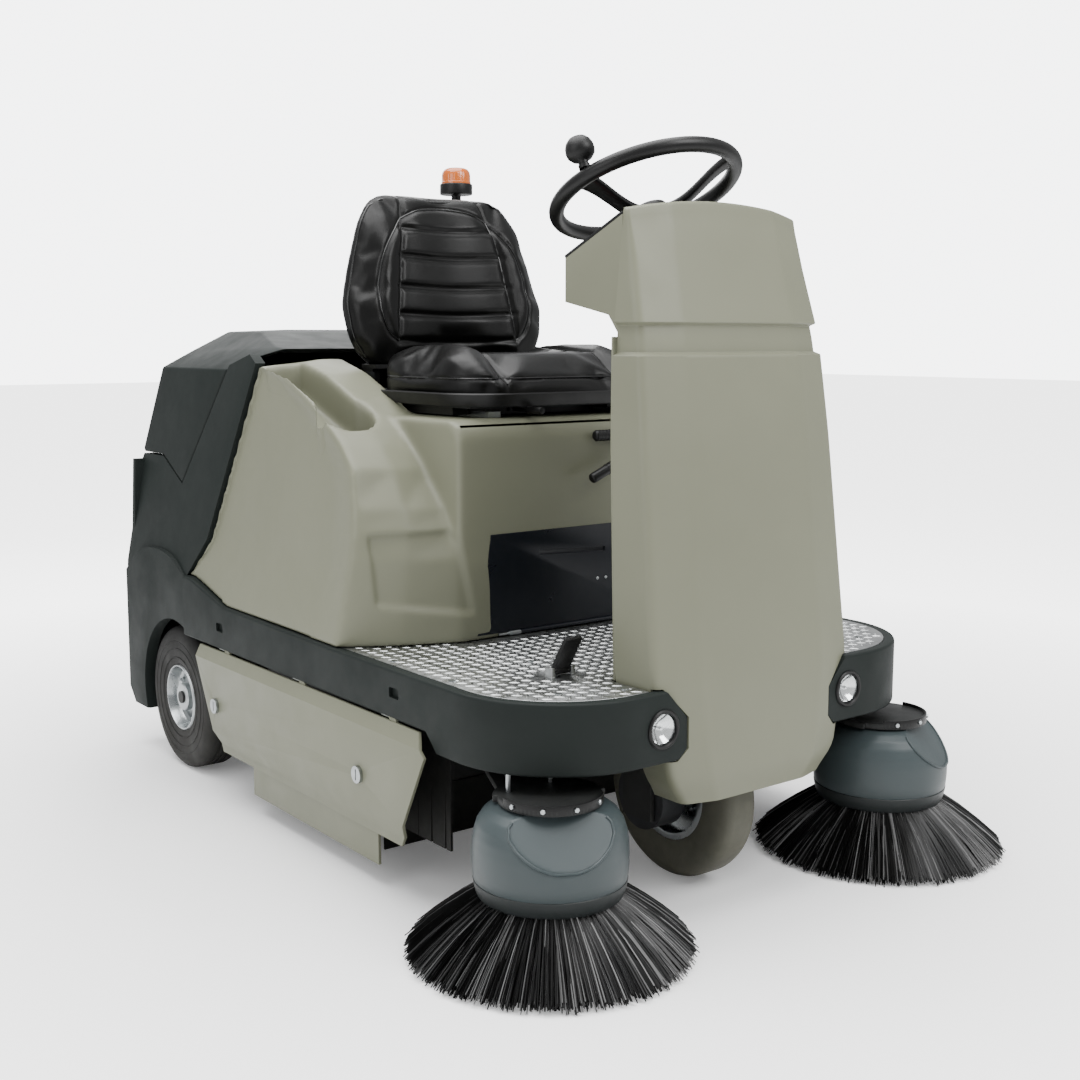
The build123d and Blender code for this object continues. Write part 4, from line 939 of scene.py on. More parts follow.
def makeBumper():
    halves = []
    b = bumper
    for name, side in bothSides:
        centre = Vector((b["half"] - b["corner"], b["front"] + b["corner"]))
        stations = [(Vector((x, b["front"])), Vector((0, -1))) for x in (b["end"], 0.235, 0.27)]
        for step in range(31):
            a = math.radians(-90 + 3 * step)
            out = Vector((math.cos(a), math.sin(a)))
            stations.append((centre + out * b["corner"], out))
        ys = [-0.53, -0.505, -0.4875, -0.470, -0.42, -0.34, -0.24, -0.140, -0.02, 0.10, 0.22, 0.34, 0.380, 0.42,
              0.46, 0.50, 0.53, 0.555, 0.575, b["rear"]]
        stations += [(Vector((b["half"], y)), Vector((1, 0))) for y in ys]
        rings = []
        for spot, out in stations:
            low, high = between(b["bottom"], spot.y)[0], between(b["top"], spot.y)[0]
            corner = [(0, low), (0, high), (-b["wall"], high), (-b["wall"], low)]
            line = roundedLine([(d, z, 0) for d, z in corner], [b["round"], b["round"], 0.003, 0.003], 4, True)
            rings.append([Vector((side * (spot.x + out.x * p.x), spot.y + out.y * p.x, p.y)) for p in line])
        half = tubeSkin("bumperHalf", rings)
        for outline in b["endCuts"]:
            cutWith(half, prism("cut", [(side * x, z) for x, z in outline], "Y", -0.80, -0.76))
        light = turned("hole", [(b["lightRadius"], 0), (b["lightRadius"], 0.05)],
                       (side * b["lightX"], -0.81, b["lightZ"]), (0, 1, 0), 56)
        cutWith(half, light)
        for y in b["slots"]:
            w, h = b["slotSize"]
            x = side * (b["half"] - b["slotDepth"])
            outline = roundedLine([(y - w / 2, 0.401 - h / 2, 0), (y + w / 2, 0.401 - h / 2, 0),
                                   (y + w / 2, 0.401 + h / 2, 0), (y - w / 2, 0.401 + h / 2, 0)], 0.005, 4, True)
            low, high = sorted((x, side * 0.56))
            cutWith(half, prism("slot", [(p.x, p.y) for p in outline], "X", low, high))
        halves.append(half)
    piece = joinPieces(halves[0], halves[1:])
    piece.name = "bumperBand"
    smoothShade(piece, 30)
    finishPiece(piece, paint["darkPlastic"], "machine", "dark_plastic", "front_bumper")


makeBumper()

# the fixed halves of the skirt hinges, hung from the bumper
skirtHinge = {"x": 0.524, "z": 0.353, "ys": (-0.340, 0.020, 0.380), "length": 0.025}
halves = []
for name, side in bothSides:
    for y in skirtHinge["ys"]:
        halves.append(turned("knuckle", [(0.0025, -skirtHinge["length"]), (0.0025, 0), (0.005, 0),
                                         (0.005, skirtHinge["length"])],
                             (side * skirtHinge["x"], y, skirtHinge["z"]), (0, 1, 0), 16))
        low, high = sorted((side * 0.514, side * 0.527))
        halves.append(box("leaf", (low, y, 0.352), (high, y + skirtHinge["length"], 0.3615)))
hingeLeaves = joinPieces(halves[0], halves[1:])
hingeLeaves.name = "skirtHingeLeaves"
smoothShade(hingeLeaves)
finishPiece(hingeLeaves, paint["zincSteel"], "machine", "zinc_steel")
print("bumper made")


# ---------- headlights

lamp = {"x": 0.243, "z": 0.379, "front": -0.799, "radius": 0.036}
for name, side in bothSides:
    centre = (side * lamp["x"], lamp["front"], lamp["z"])
    ring = turned("headlightRing", [(0.0275, 0.014), (0.0285, 0.002), (0.0305, 0.0), (0.034, 0.0), (0.036, 0.002),
                                    (0.036, 0.004), (0.033, 0.005), (0.033, 0.0255), (0.0275, 0.0255)],
                  centre, (0, 1, 0), 64, closed=True)
    bowl = turned("headlightBowl", [(0.0, 0.0215), (0.007, 0.021), (0.015, 0.0175), (0.022, 0.0125), (0.027, 0.008),
                                    (0.027, 0.0095), (0.022, 0.014), (0.015, 0.019), (0.007, 0.0228), (0.0, 0.023)],
                  centre, (0, 1, 0), 48)
    bulb = turned("headlightBulb", [(0.0, 0.0095), (0.0028, 0.0102), (0.004, 0.0125), (0.004, 0.016), (0.0028, 0.0185),
                                    (0.0028, 0.0212)], centre, (0, 1, 0), 24)
    lens = turned("headlightLens", [(0.0, 0.0015), (0.012, 0.0019), (0.022, 0.0032), (0.0273, 0.0048),
                                    (0.0273, 0.0068), (0.022, 0.0052), (0.012, 0.0039), (0.0, 0.0035)],
                  centre, (0, 1, 0), 48)
    for piece, look, slotName in ((ring, "blackPlastic", "black_plastic"), (bowl, "mirrorBowl", "zinc_steel"),
                                  (bulb, "mirrorBowl", "zinc_steel"), (lens, "clearLens", "lens")):
        piece.name += "_" + name
        smoothShade(piece)
        replaced = {"headlightRing": ["headlight_housings"], "headlightLens": ["headlight_lenses"]}
        finishPiece(piece, paint[look], "machine", slotName, *replaced.get(piece.name.split("_")[0], []))


# ---------- rear shells and hood

shell = {
    "outline": [(0.603, 0.112), (0.603, 0.492), (0.508, 0.592), (0.345, 1.002), (0.380, 1.022), (0.480, 0.996),
                (0.680, 0.706), (0.809, 0.766), (0.930, 0.766), (0.941, 0.750), (0.978, 0.460), (0.980, 0.150),
                (0.945, 0.112)],
    "leanFrom": 0.486, "depth": 0.024, "archY": 0.680, "archZ": 0.180, "archRadius": 0.195, "round": 0.0065,
    "swellTop": (0.790, 0.540), "swell": 0.005, "plateInner": 0.3935,
    "backWall": [(0.964, 0.150), (0.980, 0.150), (0.978, 0.460), (0.941, 0.752), (0.925, 0.752), (0.962, 0.460)],
}


def makeShell(name, side):
    s = shell
    lowX = flank(s["leanFrom"])
    outer = [(lowX, 0.10), (lowX, s["leanFrom"]), (flank(1.04), 1.04)]
    band = outer + [(x - s["depth"], z) for x, z in reversed(outer)]
    piece = prism("rearShell_" + name, s["outline"], "X", *sorted((side * 0.36, side * 0.545)))
    cutWith(piece, prism("band", [(side * x, z) for x, z in band], "Y", 0.30, 0.99), "INTERSECT")
    # the wheel arch's plate stands a little proud under a shallow curve
    top = s["swellTop"]
    crest = smoothCurve([(0.6035, 0.488, 0), (0.690, 0.530, 0), (top[0], top[1], 0), (0.890, 0.520, 0),
                         (0.9755, 0.462, 0)], 6)
    plate = [(p.x, p.y) for p in crest] + [(0.9795, 0.152), (0.944, 0.113), (0.6035, 0.113)]
    x = sorted((side * (lowX - 0.020), side * (lowX + s["swell"])))
    cutWith(piece, prism("plate", plate, "X", *x), "UNION")
    wall = prism("wall", s["backWall"], "X", *sorted((side * s["plateInner"], side * (lowX - 0.012))))
    cutWith(piece, wall, "UNION")
    arch = turned("arch", [(s["archRadius"], 0), (s["archRadius"], 0.2)], (side * 0.36, s["archY"], s["archZ"]),
                  (side, 0, 0), 96)
    cutWith(piece, arch)
    work = bmesh.new()
    work.from_mesh(piece.data)
    bmesh.ops.remove_doubles(work, verts=work.verts, dist=0.0002)
    bmesh.ops.dissolve_limit(work, angle_limit=math.radians(0.5), verts=work.verts, edges=work.edges)
    work.to_mesh(piece.data)
    work.free()
    roundEdges(piece, s["round"], 4, 14)
    smoothShade(piece, 30)
    finishPiece(piece, paint["darkPlastic"], "machine", "dark_plastic", "rear_shell_" + name)


for name, side in bothSides:
    makeShell(name, side)

hood = {
    "side": [(0.352, 1.034), (0.420, 1.040), (0.600, 1.072), (0.790, 1.080), (0.866, 0.988), (0.938, 0.778),
             (0.930, 0.770), (0.811, 0.770), (0.683, 0.711), (0.484, 1.000), (0.384, 1.026)],
    "front": [(0.4886, 0.700), (0.4489, 0.985), (0.383, 1.026), (0.300, 1.074), (0.0, 1.085)],
    "core": [(0.357, 0.900), (0.357, 1.022), (0.421, 1.0275), (0.601, 1.0595), (0.787, 1.0675), (0.855, 0.984),
             (0.926, 0.778), (0.920, 0.690), (0.600, 0.690)],
    "coreFront": [(0.482, 0.680), (0.442, 0.981), (0.377, 1.017), (0.297, 1.062), (0.0, 1.073)],
    "round": 0.010, "beacon": (0.182, 0.470), "boss": 0.030, "bossTop": 1.056,
}


def mirroredOutline(points):
    return points + [(-x, z) for x, z in reversed(points) if x > 0]


def makeHood():
    piece = prism("rearHood", hood["side"], "X", -0.52, 0.52)
    cutWith(piece, prism("front", mirroredOutline(hood["front"]), "Y", 0.30, 1.0), "INTERSECT")
    roundEdges(piece, hood["round"], 4, 12)
    core = prism("core", hood["core"], "X", -0.52, 0.52)
    cutWith(core, prism("coreFront", mirroredOutline(hood["coreFront"]), "Y", 0.30, 1.0), "INTERSECT")
    cutWith(piece, core)
    x, y = hood["beacon"]
    boss = turned("boss", [(0.0305, 1.035), (0.0305, 1.052), (0.0275, 1.056), (0.013, 1.0562), (0.013, 1.035)],
                  (x, y, 0), (0, 0, 1), 48, closed=True)
    joinPieces(piece, [boss])
    for name, side in bothSides:
        knuckle = turned("knuckle", [(0.0041, 0), (0.007, 0), (0.007, 0.0295), (0.0041, 0.0295)],
                         (side * 0.2105, 0.948, 0.762), (side, 0, 0), 24, closed=True)
        leaf = box("leaf", (min(side * 0.2105, side * 0.240), 0.931, 0.7645),
                   (max(side * 0.2105, side * 0.240), 0.9475, 0.7755))
        joinPieces(piece, [knuckle, leaf])
    smoothShade(piece, 30)
    finishPiece(piece, paint["darkPlastic"], "hood", "dark_plastic", "rear_hood")


makeHood()
print("shells and hood made")


# door in the front wall

door = {"outline": [(-0.223, 0.661), (-0.2235, 0.650), (-0.258, 0.4545), (0.225, 0.4545), (0.225, 0.661)],
        "front": -0.2465, "back": -0.2403, "slot": [(-0.098, 0.6195), (-0.098, 0.6095), (0.080, 0.6015), (0.080, 0.6115)],
        "dots": [(0.060, 0.543), (0.083, 0.543)], "dotRadius": 0.0035}
panel = prism("frontDoor", door["outline"], "Y", door["front"], door["back"])
cutWith(panel, prism("slot", door["slot"], "Y", -0.26, door["front"] + 0.0042))
roundEdges(panel, 0.0012, 2, 30)
leaves = [box("leaf", (-0.149, -0.2465, 0.4485), (0.149, -0.2405, 0.4560)),
          turned("knuckle", [(0.0045, -0.149), (0.0045, 0.149)], (0, -0.247, 0.4515), (1, 0, 0), 16)]
joinPieces(panel, leaves)
smoothShade(panel, 30)
finishPiece(panel, paint["doorPanel"], "door", "black_plastic", "front_door")
stud = turned("stud", [(0.0, 0.0028), (0.6, 0.0022), (0.9, 0.0010), (1.0, 0.0)], (0, 0, 0), (0, -1, 0), 20)
spots = [((x, door["front"], z), (0, 0, 0)) for x, z in door["dots"]]
for vert in stud.data.vertices:
    vert.co.x *= door["dotRadius"]
    vert.co.z *= door["dotRadius"]
dots = standShapes("doorStuds", stud, spots, 1.0, paint["zincSteel"])
smoothShade(dots)
finishPiece(dots, paint["zincSteel"], "door", "zinc_steel")

# the small moving levers, as grips on thin rods
lever = {"rod": 0.0045, "grip": 0.011, "start": 0.019, "gripFrom": 0.070, "end": 0.138,
         "brushes": ((0.170, -0.258, 0.853), 0.0, "brush_lever", "lever_brushes"),
         "flap": ((0.170, -0.282, 0.831), 23.0, "flap_lever", "lever_flap")}
print("door made")


# side skirts, with their latches

for name, side in bothSides:
    skirt = nodeCopy("side_skirt_" + name, "sideSkirt_" + name)
    roundEdges(skirt, 0.0022, 3, 30)
    smoothShade(skirt, 35)
    finishPiece(skirt, paint["beigePlastic"], "skirt_" + name, "body_plastic", "side_skirt_" + name)
    for place, y in (("front", -0.258), ("rear", 0.390)):
        node = "skirt_latch_" + place + "_" + name
        latch = nodeCopy(node, "latch_" + place + "_" + name)
        roundEdges(latch, 0.0016, 3, 40)
        low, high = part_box(node)
        face = low.x if side < 0 else high.x
        slot = box("slot", (min(face - side * 0.0022, face + side * 0.01), y - 0.0018, 0.222 - 0.011),
                   (max(face - side * 0.0022, face + side * 0.01), y + 0.0018, 0.222 + 0.011))
        cutWith(latch, slot)
        smoothShade(latch, 35)
        finishPiece(latch, paint["zincSteel"], "latch_" + place + "_" + name, "zinc_steel", node)
print("skirts made")


# tread plate

tread = {"half": 0.5075, "front": -0.7725, "rear": 0.3995, "corner": 0.2075, "top": 0.445, "thick": 0.004,
         "notchHalf": 0.258, "notchRear": -0.668, "slotHalf": 0.099, "slotRear": -0.508, "pitch": 0.0262,
         "bumpLength": 0.0115, "bumpWidth": 0.0033, "bumpHeight": 0.0017, "margin": 0.012}


def onPlate(x, y, margin):
    t = tread
    if abs(x) > t["half"] - margin or y < t["front"] + margin or y > t["rear"] - margin:
        return False
    cornerX, cornerY = t["half"] - t["corner"], t["front"] + t["corner"]
    if abs(x) > cornerX and y < cornerY and math.hypot(abs(x) - cornerX, y - cornerY) > t["corner"] - margin:
        return False
    if y < t["notchRear"] + margin and abs(x) < t["notchHalf"] + margin:
        return False
    if y < t["slotRear"] + margin and abs(x) < t["slotHalf"] + margin:
        return False
    return not (abs(x) < 0.305 and y > -0.262) and not (abs(x) > 0.30 and y > -0.13)


def makeTread():
    plate = nodeCopy("platform_plate", "treadPlate")
    roundEdges(plate, 0.0008, 2, 30)
    t = tread
    profile = [(0.0, 1.0), (0.35, 0.93), (0.62, 0.72), (0.85, 0.36), (1.0, 0.0)]
    bump = turned("bump", profile, (0, 0, 0), (0, 0, 1), 14)
    for vert in bump.data.vertices:
        # one end is narrower, like a teardrop
        vert.co.y *= 1 - 0.35 * max(0.0, vert.co.x)
        vert.co.x *= t["bumpLength"]
        vert.co.y *= t["bumpWidth"]
        vert.co.z *= t["bumpHeight"]
    spots = []
    rows = int((t["rear"] - t["front"]) / (t["pitch"] / 2)) + 1
    for row in range(rows):
        for col in range(-24, 25):
            x = (col + 0.5 * (row % 2)) * t["pitch"]
            y = t["front"] + row * t["pitch"] / 2
            slant = 45 if (row + 2 * (col % 2)) % 2 == 0 else -45
            clear = min(math.hypot(x - s * 0.305, (y + 0.580)) for s in (-1, 1)) > 0.05
            if onPlate(x, y, t["margin"]) and clear:
                spots.append(((x, y, t["top"] - 0.0001), (0, 0, math.radians(slant))))
    bumps = standShapes("treadBumps", bump, spots, 1.0, paint["treadMetal"])
    joinPieces(plate, [bumps])
    smoothShade(plate, 50)
    finishPiece(plate, paint["treadMetal"], "machine", "tread_aluminium", "platform_plate")
    print("tread bumps:", len(spots))


makeTread()


# wheels

def tyreShape(name, centre, radius, rim, width, groove, ribs):
    half = width / 2
    profile = [(rim, -half + 0.004), (rim + 0.010, -half + 0.0015), (radius - 0.034, -half), (radius - 0.022, -half + 0.001),
               (radius - 0.010, -half + 0.005), (radius - 0.003, -half + 0.012), (radius, -half + 0.020)]
    for k in range(1, ribs):
        x = -half + 0.020 + (width - 0.040) * k / ribs
        profile += [(radius, x - 0.0035), (radius - groove, x - 0.0022), (radius - groove, x + 0.0022), (radius, x + 0.0035)]
    profile += [(r, -h) for r, h in reversed(profile[:7])]
    return turned(name, profile, centre, (1, 0, 0), 128, closed=True)


def wheelNuts(name, x, centre, circle, count, size, side, material):
    nut = turned("nut", [(1.0, -0.2), (1.0, 0.7), (0.86, 0.85), (0.55, 0.85), (0.55, 1.35), (0.45, 1.5)],
                 (0, 0, 0), (side, 0, 0), 6)
    spots = []
    for k in range(count):
        a = 2 * math.pi * (k + 0.5) / count
        spots.append(((x, centre[1] + circle * math.cos(a), centre[2] + circle * math.sin(a)), (0, 0, 0)))
    return standShapes(name, nut, spots, size, material)


rearWheel = {"centre": (0.463, 0.680, 0.177), "radius": 0.177, "rim": 0.0822, "width": 0.100}
for name, side in bothSides:
    x, y, z = rearWheel["centre"]
    centre = (side * x, y, z)
    tyre = tyreShape("rearTyre_" + name, centre, rearWheel["radius"], rearWheel["rim"], rearWheel["width"], 0.004, 4)
    lines = [turned("bead", [(r - 0.0012, 0.0498 * side), (r, 0.0508 * side), (r + 0.0012, 0.0498 * side)], centre, (1, 0, 0), 96,
                    closed=True) for r in (0.100, 0.122, 0.140)]
    joinPieces(tyre, lines)
    smoothShade(tyre, 30)
    finishPiece(tyre, paint["blackTyre"], "rear_wheel_" + name, "black_tyre", "rear_tyre_" + name)
    dish = [(0.0820, 0.046), (0.0800, 0.0492), (0.0772, 0.0495), (0.0755, 0.0462), (0.0735, 0.030), (0.070, 0.0225), (0.062, 0.018),
            (0.052, 0.0185), (0.042, 0.0245), (0.034, 0.0285), (0.0335, 0.041), (0.0318, 0.0435), (0.0155, 0.0438),
            (0.01506, 0.0425), (0.01506, -0.0685), (0.030, -0.0690), (0.0315, -0.040), (0.0820, -0.040)]
    rim = turned("rearRim_" + name, dish, centre, (side, 0, 0), 96, closed=True)
    nuts = wheelNuts("nuts", centre[0] + side * 0.0185, centre, 0.056, 5, 0.0068, side, paint["zincSteel"])
    joinPieces(rim, [nuts])
    smoothShade(rim, 30)
    finishPiece(rim, paint["zincSteel"], "rear_wheel_" + name, "zinc_steel", "rear_rim_" + name)

frontWheel = {"centre": (0.0, -0.583, 0.175), "radius": 0.175, "rim": 0.1002, "width": 0.084}
tyre = tyreShape("frontTyre", frontWheel["centre"], frontWheel["radius"], frontWheel["rim"], frontWheel["width"], 0.003, 1)
smoothShade(tyre, 30)
finishPiece(tyre, paint["greyTyre"], "front_wheel", "grey_tyre", "front_tyre")
frontRim = nodeCopy("front_rim", "frontRim")
roundEdges(frontRim, 0.0015, 3, 40)
nuts = [wheelNuts("nuts", side * 0.0165, frontWheel["centre"], 0.056, 6, 0.0068, side, paint["zincSteel"]) for side in (-1, 1)]
joinPieces(frontRim, nuts)
smoothShade(frontRim, 35)
finishPiece(frontRim, paint["zincSteel"], "front_wheel", "zinc_steel", "front_rim")
print("wheels made")


# side brushes

sweep = {"x": 0.437, "y": -0.722, "rootZ": 0.1175, "rootRadius": 0.086, "rootBand": 0.029, "reach": 0.143,
         "droop": 0.112, "thickness": 0.00125, "strands": 5200, "jitter": 0.09,
         "aim": (0.43, -0.90), "facetFoot": (0.137, 0.187), "facetTop": (0.070, 0.262), "wall": 0.004, "flange": 0.092}


# between the hood's two skins, as (height, radius)
innerWall = [(0.100, 0.126), (0.160, 0.1348), (0.200, 0.1338), (0.220, 0.1300), (0.238, 0.1225), (0.250, 0.1140),
             (0.258, 0.1040), (0.2630, 0.0860), (0.2680, 0.0700), (0.2705, 0.0600)]


def makeBrush(name, side):
    s = sweep
    centre = (side * s["x"], s["y"], 0.0)
    # a dark cone fills the tuft's depth, under the separate strands
    cone = [(0.085, 0.1176), (0.108, 0.1176), (0.130, 0.0920), (0.152, 0.0690), (0.185, 0.0370), (0.210, 0.0150),
            (0.220, 0.0060), (0.205, 0.0070), (0.165, 0.0350), (0.125, 0.0700), (0.090, 0.0960)]
    tuft = turned("tuft", cone, centre, (0, 0, 1), 96, closed=True)
    # the cone takes share 0: plain dark filament colour, with no painted highlight
    filler = 0.0
    paintedGlintStore = tuft.data.attributes.new("tint", "FLOAT", "POINT")
    for k in range(len(tuft.data.vertices)):
        paintedGlintStore.data[k].value = filler
    strands = meshPiece("strands", [(0, 0, 0)], [])
    count = s["strands"]
    runTree(strands, sweepTree, {"Count": count, "Seed": 11 if side < 0 else 12, "Root Radius": s["rootRadius"],
                                 "Root Band": s["rootBand"], "Reach": s["reach"], "Droop": s["droop"], "Thickness": s["thickness"],
                                 "Jitter": s["jitter"], "Centre": (side * s["x"], s["y"], s["rootZ"]),
                                 "Material": paint["filament"]})
    strands.data.materials.clear()
    joined = joinPieces(strands, [tuft])
    joined.name = "bristles_" + name
    smoothShade(joined, 60)
    finishPiece(joined, paint["filament"], "brush_" + name, "bristle", "brush_bristles_" + name)

    # the hood over the brush: a bulb on a darker foot, cut flat in front inside a raised lip
    dome = [(0.1215, 0.1040), (0.1255, 0.1040), (0.1305, 0.1160), (0.1340, 0.1290), (0.1352, 0.1372), (0.1340, 0.1384),
            (0.1350, 0.1400), (0.1368, 0.1620), (0.1370, 0.1800), (0.1362, 0.2000), (0.1335, 0.2200), (0.1280, 0.2380),
            (0.1180, 0.2530), (0.1040, 0.2630), (0.0860, 0.2685), (0.0640, 0.2705), (0.0580, 0.2705), (0.0580, 0.2600),
            (0.0840, 0.2590), (0.1010, 0.2550), (0.1140, 0.2460), (0.1230, 0.2340), (0.1285, 0.2170), (0.1315, 0.1980),
            (0.1328, 0.1600), (0.1300, 0.1330)]
    hoodPiece = turned("brushHood_" + name, dome, centre, (0, 0, 1), 160, closed=True)
    work = bmesh.new()
    work.from_mesh(hoodPiece.data)
    for _ in range(2):
        long = [e for e in work.edges if e.calc_length() > 0.006 and e.verts[0].co.z > 0.17]
        bmesh.ops.subdivide_edges(work, edges=long, cuts=1, use_grid_fill=True)
    aim = Vector((s["aim"][0] * side, s["aim"][1], 0)).normalized()
    (footR, footZ), (topR, topZ) = s["facetFoot"], s["facetTop"]
    for vert in work.verts:
        x, y, z = vert.co.x - centre[0], vert.co.y - centre[1], vert.co.z
        if z < 0.16:
            continue
        limit = footR + (topR - footR) * (z - footZ) / (topZ - footZ)
        inner = math.hypot(x, y) < between(innerWall, z)[0]
        reach = x * aim.x + y * aim.y
        over = reach - (limit - (s["wall"] if inner else 0))
        if over > 0:
            vert.co.x -= aim.x * over
            vert.co.y -= aim.y * over
    work.to_mesh(hoodPiece.data)
    work.free()
    # the lip follows the line where the flat cut meets the bulb
    lipLine = {-1: [], 1: []}
    outerWall = [(z, r) for r, z in dome[6:16]]
    for k in range(25):
        z = 0.1885 + (0.2600 - 0.1885) * (k / 24) ** 2
        r = between(outerWall, z)[0]
        turn = math.acos(min(1.0, (footR + (topR - footR) * (z - footZ) / (topZ - footZ)) / r))
        for way in lipLine:
            a = math.atan2(aim.y, aim.x) + way * turn
            lipLine[way].append(Vector((centre[0] + r * math.cos(a), centre[1] + r * math.sin(a), z)))
    lip = strip("lip", lipLine[-1][::-1] + lipLine[1][1:], 0.0026, 8)
    joinPieces(hoodPiece, [lip])
    smoothShade(hoodPiece, 45)
    band = newBand(hoodPiece)
    finishPiece(hoodPiece, paint["slatePlastic"], "brush_arm_" + name, "slate_plastic", "brush_hood_" + name)
    band.name = "hoodFoot_" + name
    smoothShade(band, 45)
    finishPiece(band, paint["slateFoot"], "brush_arm_" + name, "slate_plastic")

    # the arm, its bolts and two rods
    arm = nodeCopy("brush_arm_" + name, "brushArm_" + name)
    facing = math.atan2(aim.y, aim.x)
    trim = [(centre[0] + r * math.cos(facing + math.radians(t)), centre[1] + r * math.sin(facing + math.radians(t)))
            for r, turns in ((0.135, range(-95, 96, 5)), (s["flange"], range(95, -96, -5))) for t in turns]
    cutWith(arm, prism("trim", trim, "Z", 0.26, 0.30))
    roundEdges(arm, 0.0018, 2, 30)
    smoothShade(arm, 35)
    finishPiece(arm, paint["powderCoat"], "brush_arm_" + name, "frame_paint", "brush_arm_" + name)
    # a curved flange with bolt heads faces forward, and two rods stand behind it
    flange = []
    for k in range(33):
        a = facing + math.radians(-74 + 148 * k / 32)
        flange.append([Vector((centre[0] + r * math.cos(a), centre[1] + r * math.sin(a), z))
                       for r, z in ((s["flange"] - 0.004, 0.2722), (s["flange"], 0.2722), (s["flange"], 0.2895),
                                    (s["flange"] - 0.004, 0.2895))])
    bracket = tubeSkin("brushBracket_" + name, flange)
    roundEdges(bracket, 0.001, 2, 40)
    head = turned("head", [(1.0, -0.1), (1.0, 0.55), (0.85, 0.7)], (0, 0, 0), (1, 0, 0), 6)
    spots = []
    for degrees in (-56, -20, 16, 52):
        a = facing + math.radians(degrees)
        spots.append(((centre[0] + s["flange"] * math.cos(a), centre[1] + s["flange"] * math.sin(a), 0.2808), (0, 0, a)))
    bolts = standShapes("bracketBolts_" + name, head, spots, 0.0048, paint["zincSteel"])
    smoothShade(bracket)
    finishPiece(bracket, paint["blackPlastic"], "brush_arm_" + name, "frame_paint")
    rods = [turned("rod", [(0.0045, 0.283), (0.0045, 0.352), (0.003, 0.356)],
                   (centre[0] + dx, centre[1] + 0.052, 0), (0, 0, 1), 16) for dx in (-0.052, 0.040)]
    joinPieces(bolts, rods)
    smoothShade(bolts)
    finishPiece(bolts, paint["zincSteel"], "brush_arm_" + name, "zinc_steel")


def newBand(source):
    # the darker foot of the hood is split off as its own skin
    work = bmesh.new()
    work.from_mesh(source.data)
    upper = [f for f in work.faces if f.calc_center_median().z > 0.1380]
    lower = [f for f in work.faces if f.calc_center_median().z <= 0.1380]
    foot = work.copy()
    foot.faces.ensure_lookup_table()
    work.faces.ensure_lookup_table()
    bmesh.ops.delete(foot, geom=[foot.faces[f.index] for f in upper], context="FACES")
    bmesh.ops.delete(work, geom=lower, context="FACES")
    piece = meshPiece("hoodBand", [(0, 0, 0)], [])
    foot.to_mesh(piece.data)
    work.to_mesh(source.data)
    foot.free()
    work.free()
    return piece


for name, side in bothSides:
    makeBrush(name, side)
print("side brushes made")


# seat

seat = {
    "cushion": {"half": 0.249, "front": -0.219, "rear": 0.186, "low": 0.922, "top": 1.010, "corner": 0.075,
                "bolster": 0.022, "bolsterFrom": 0.140, "bolsterTo": 0.215, "nose": 0.016},
    "back": {"half": [(0.980, 0.222), (1.060, 0.262), (1.130, 0.270), (1.230, 0.244), (1.320, 0.215), (1.375, 0.183),
                      (1.392, 0.150)],
             "front": [(0.985, 0.208), (1.120, 0.222), (1.385, 0.270)],
             "rear": [(0.985, 0.262), (1.150, 0.294), (1.385, 0.310)], "low": 0.990, "high": 1.390},
    "voxel": 0.0088, "pressure": 4.0, "frames": 20, "cap": 0.024,
}


def puffUp(piece, pinned):
    # the padding swells under pressure while the pinned underside stays
    cells = piece.modifiers.new("cells", "REMESH")
    cells.mode = "VOXEL"
    cells.voxel_size = seat["voxel"]
    bakeModifiers(piece)
    work = bmesh.new()
    work.from_mesh(piece.data)
    for _ in range(4):
        bmesh.ops.smooth_vert(work, verts=work.verts, factor=0.5, use_axis_x=True, use_axis_y=True, use_axis_z=True)
    work.to_mesh(piece.data)
    work.free()
    rest = [v.co.copy() for v in piece.data.vertices]
    group = piece.vertex_groups.new(name="pins")
    group.add([v.index for v in piece.data.vertices if pinned(v.co)], 1.0, "REPLACE")
    cloth = piece.modifiers.new("cloth", "CLOTH")
    cloth.settings.quality = 5
    cloth.settings.mass = 0.4
    cloth.settings.tension_stiffness = 28
    cloth.settings.compression_stiffness = 22
    cloth.settings.bending_stiffness = 8.0
    cloth.settings.use_pressure = True
    cloth.settings.uniform_pressure_force = seat["pressure"]
    cloth.settings.vertex_group_mass = "pins"
    cloth.settings.effector_weights.gravity = 0.0
    cloth.collision_settings.use_self_collision = False
    cloth.point_cache.frame_start = 1
    cloth.point_cache.frame_end = seat["frames"]
    for number in range(1, seat["frames"] + 1):
        scene.frame_set(number)
    bakeModifiers(piece)
    scene.frame_set(1)
    piece.vertex_groups.clear()
    for vert, start in zip(piece.data.vertices, rest):
        move = vert.co - start
        if move.length > seat["cap"]:
            vert.co = start + move * (seat["cap"] / move.length)
    work = bmesh.new()
    work.from_mesh(piece.data)
    for _ in range(2):
        bmesh.ops.smooth_vert(work, verts=work.verts, factor=0.5, use_axis_x=True, use_axis_y=True, use_axis_z=True)
    work.to_mesh(piece.data)
    work.free()
    finer = piece.modifiers.new("finer", "SUBSURF")
    finer.levels = 1
    finer.render_levels = 1
    bakeModifiers(piece)


def nearLine(a, b, line):
    # least distance from (a, b) to a polyline
    best = 1.0
    for (ax, ay), (bx, by) in zip(line, line[1:]):
        dx, dy = bx - ax, by - ay
        t = min(1.0, max(0.0, ((a - ax) * dx + (b - ay) * dy) / (dx * dx + dy * dy)))
        best = min(best, math.hypot(a - ax - dx * t, b - ay - dy * t))
    return best


def flatCurve(points, steps=6):
    return [(p.x, p.y) for p in smoothCurve([(a, b, 0) for a, b in points], steps)]


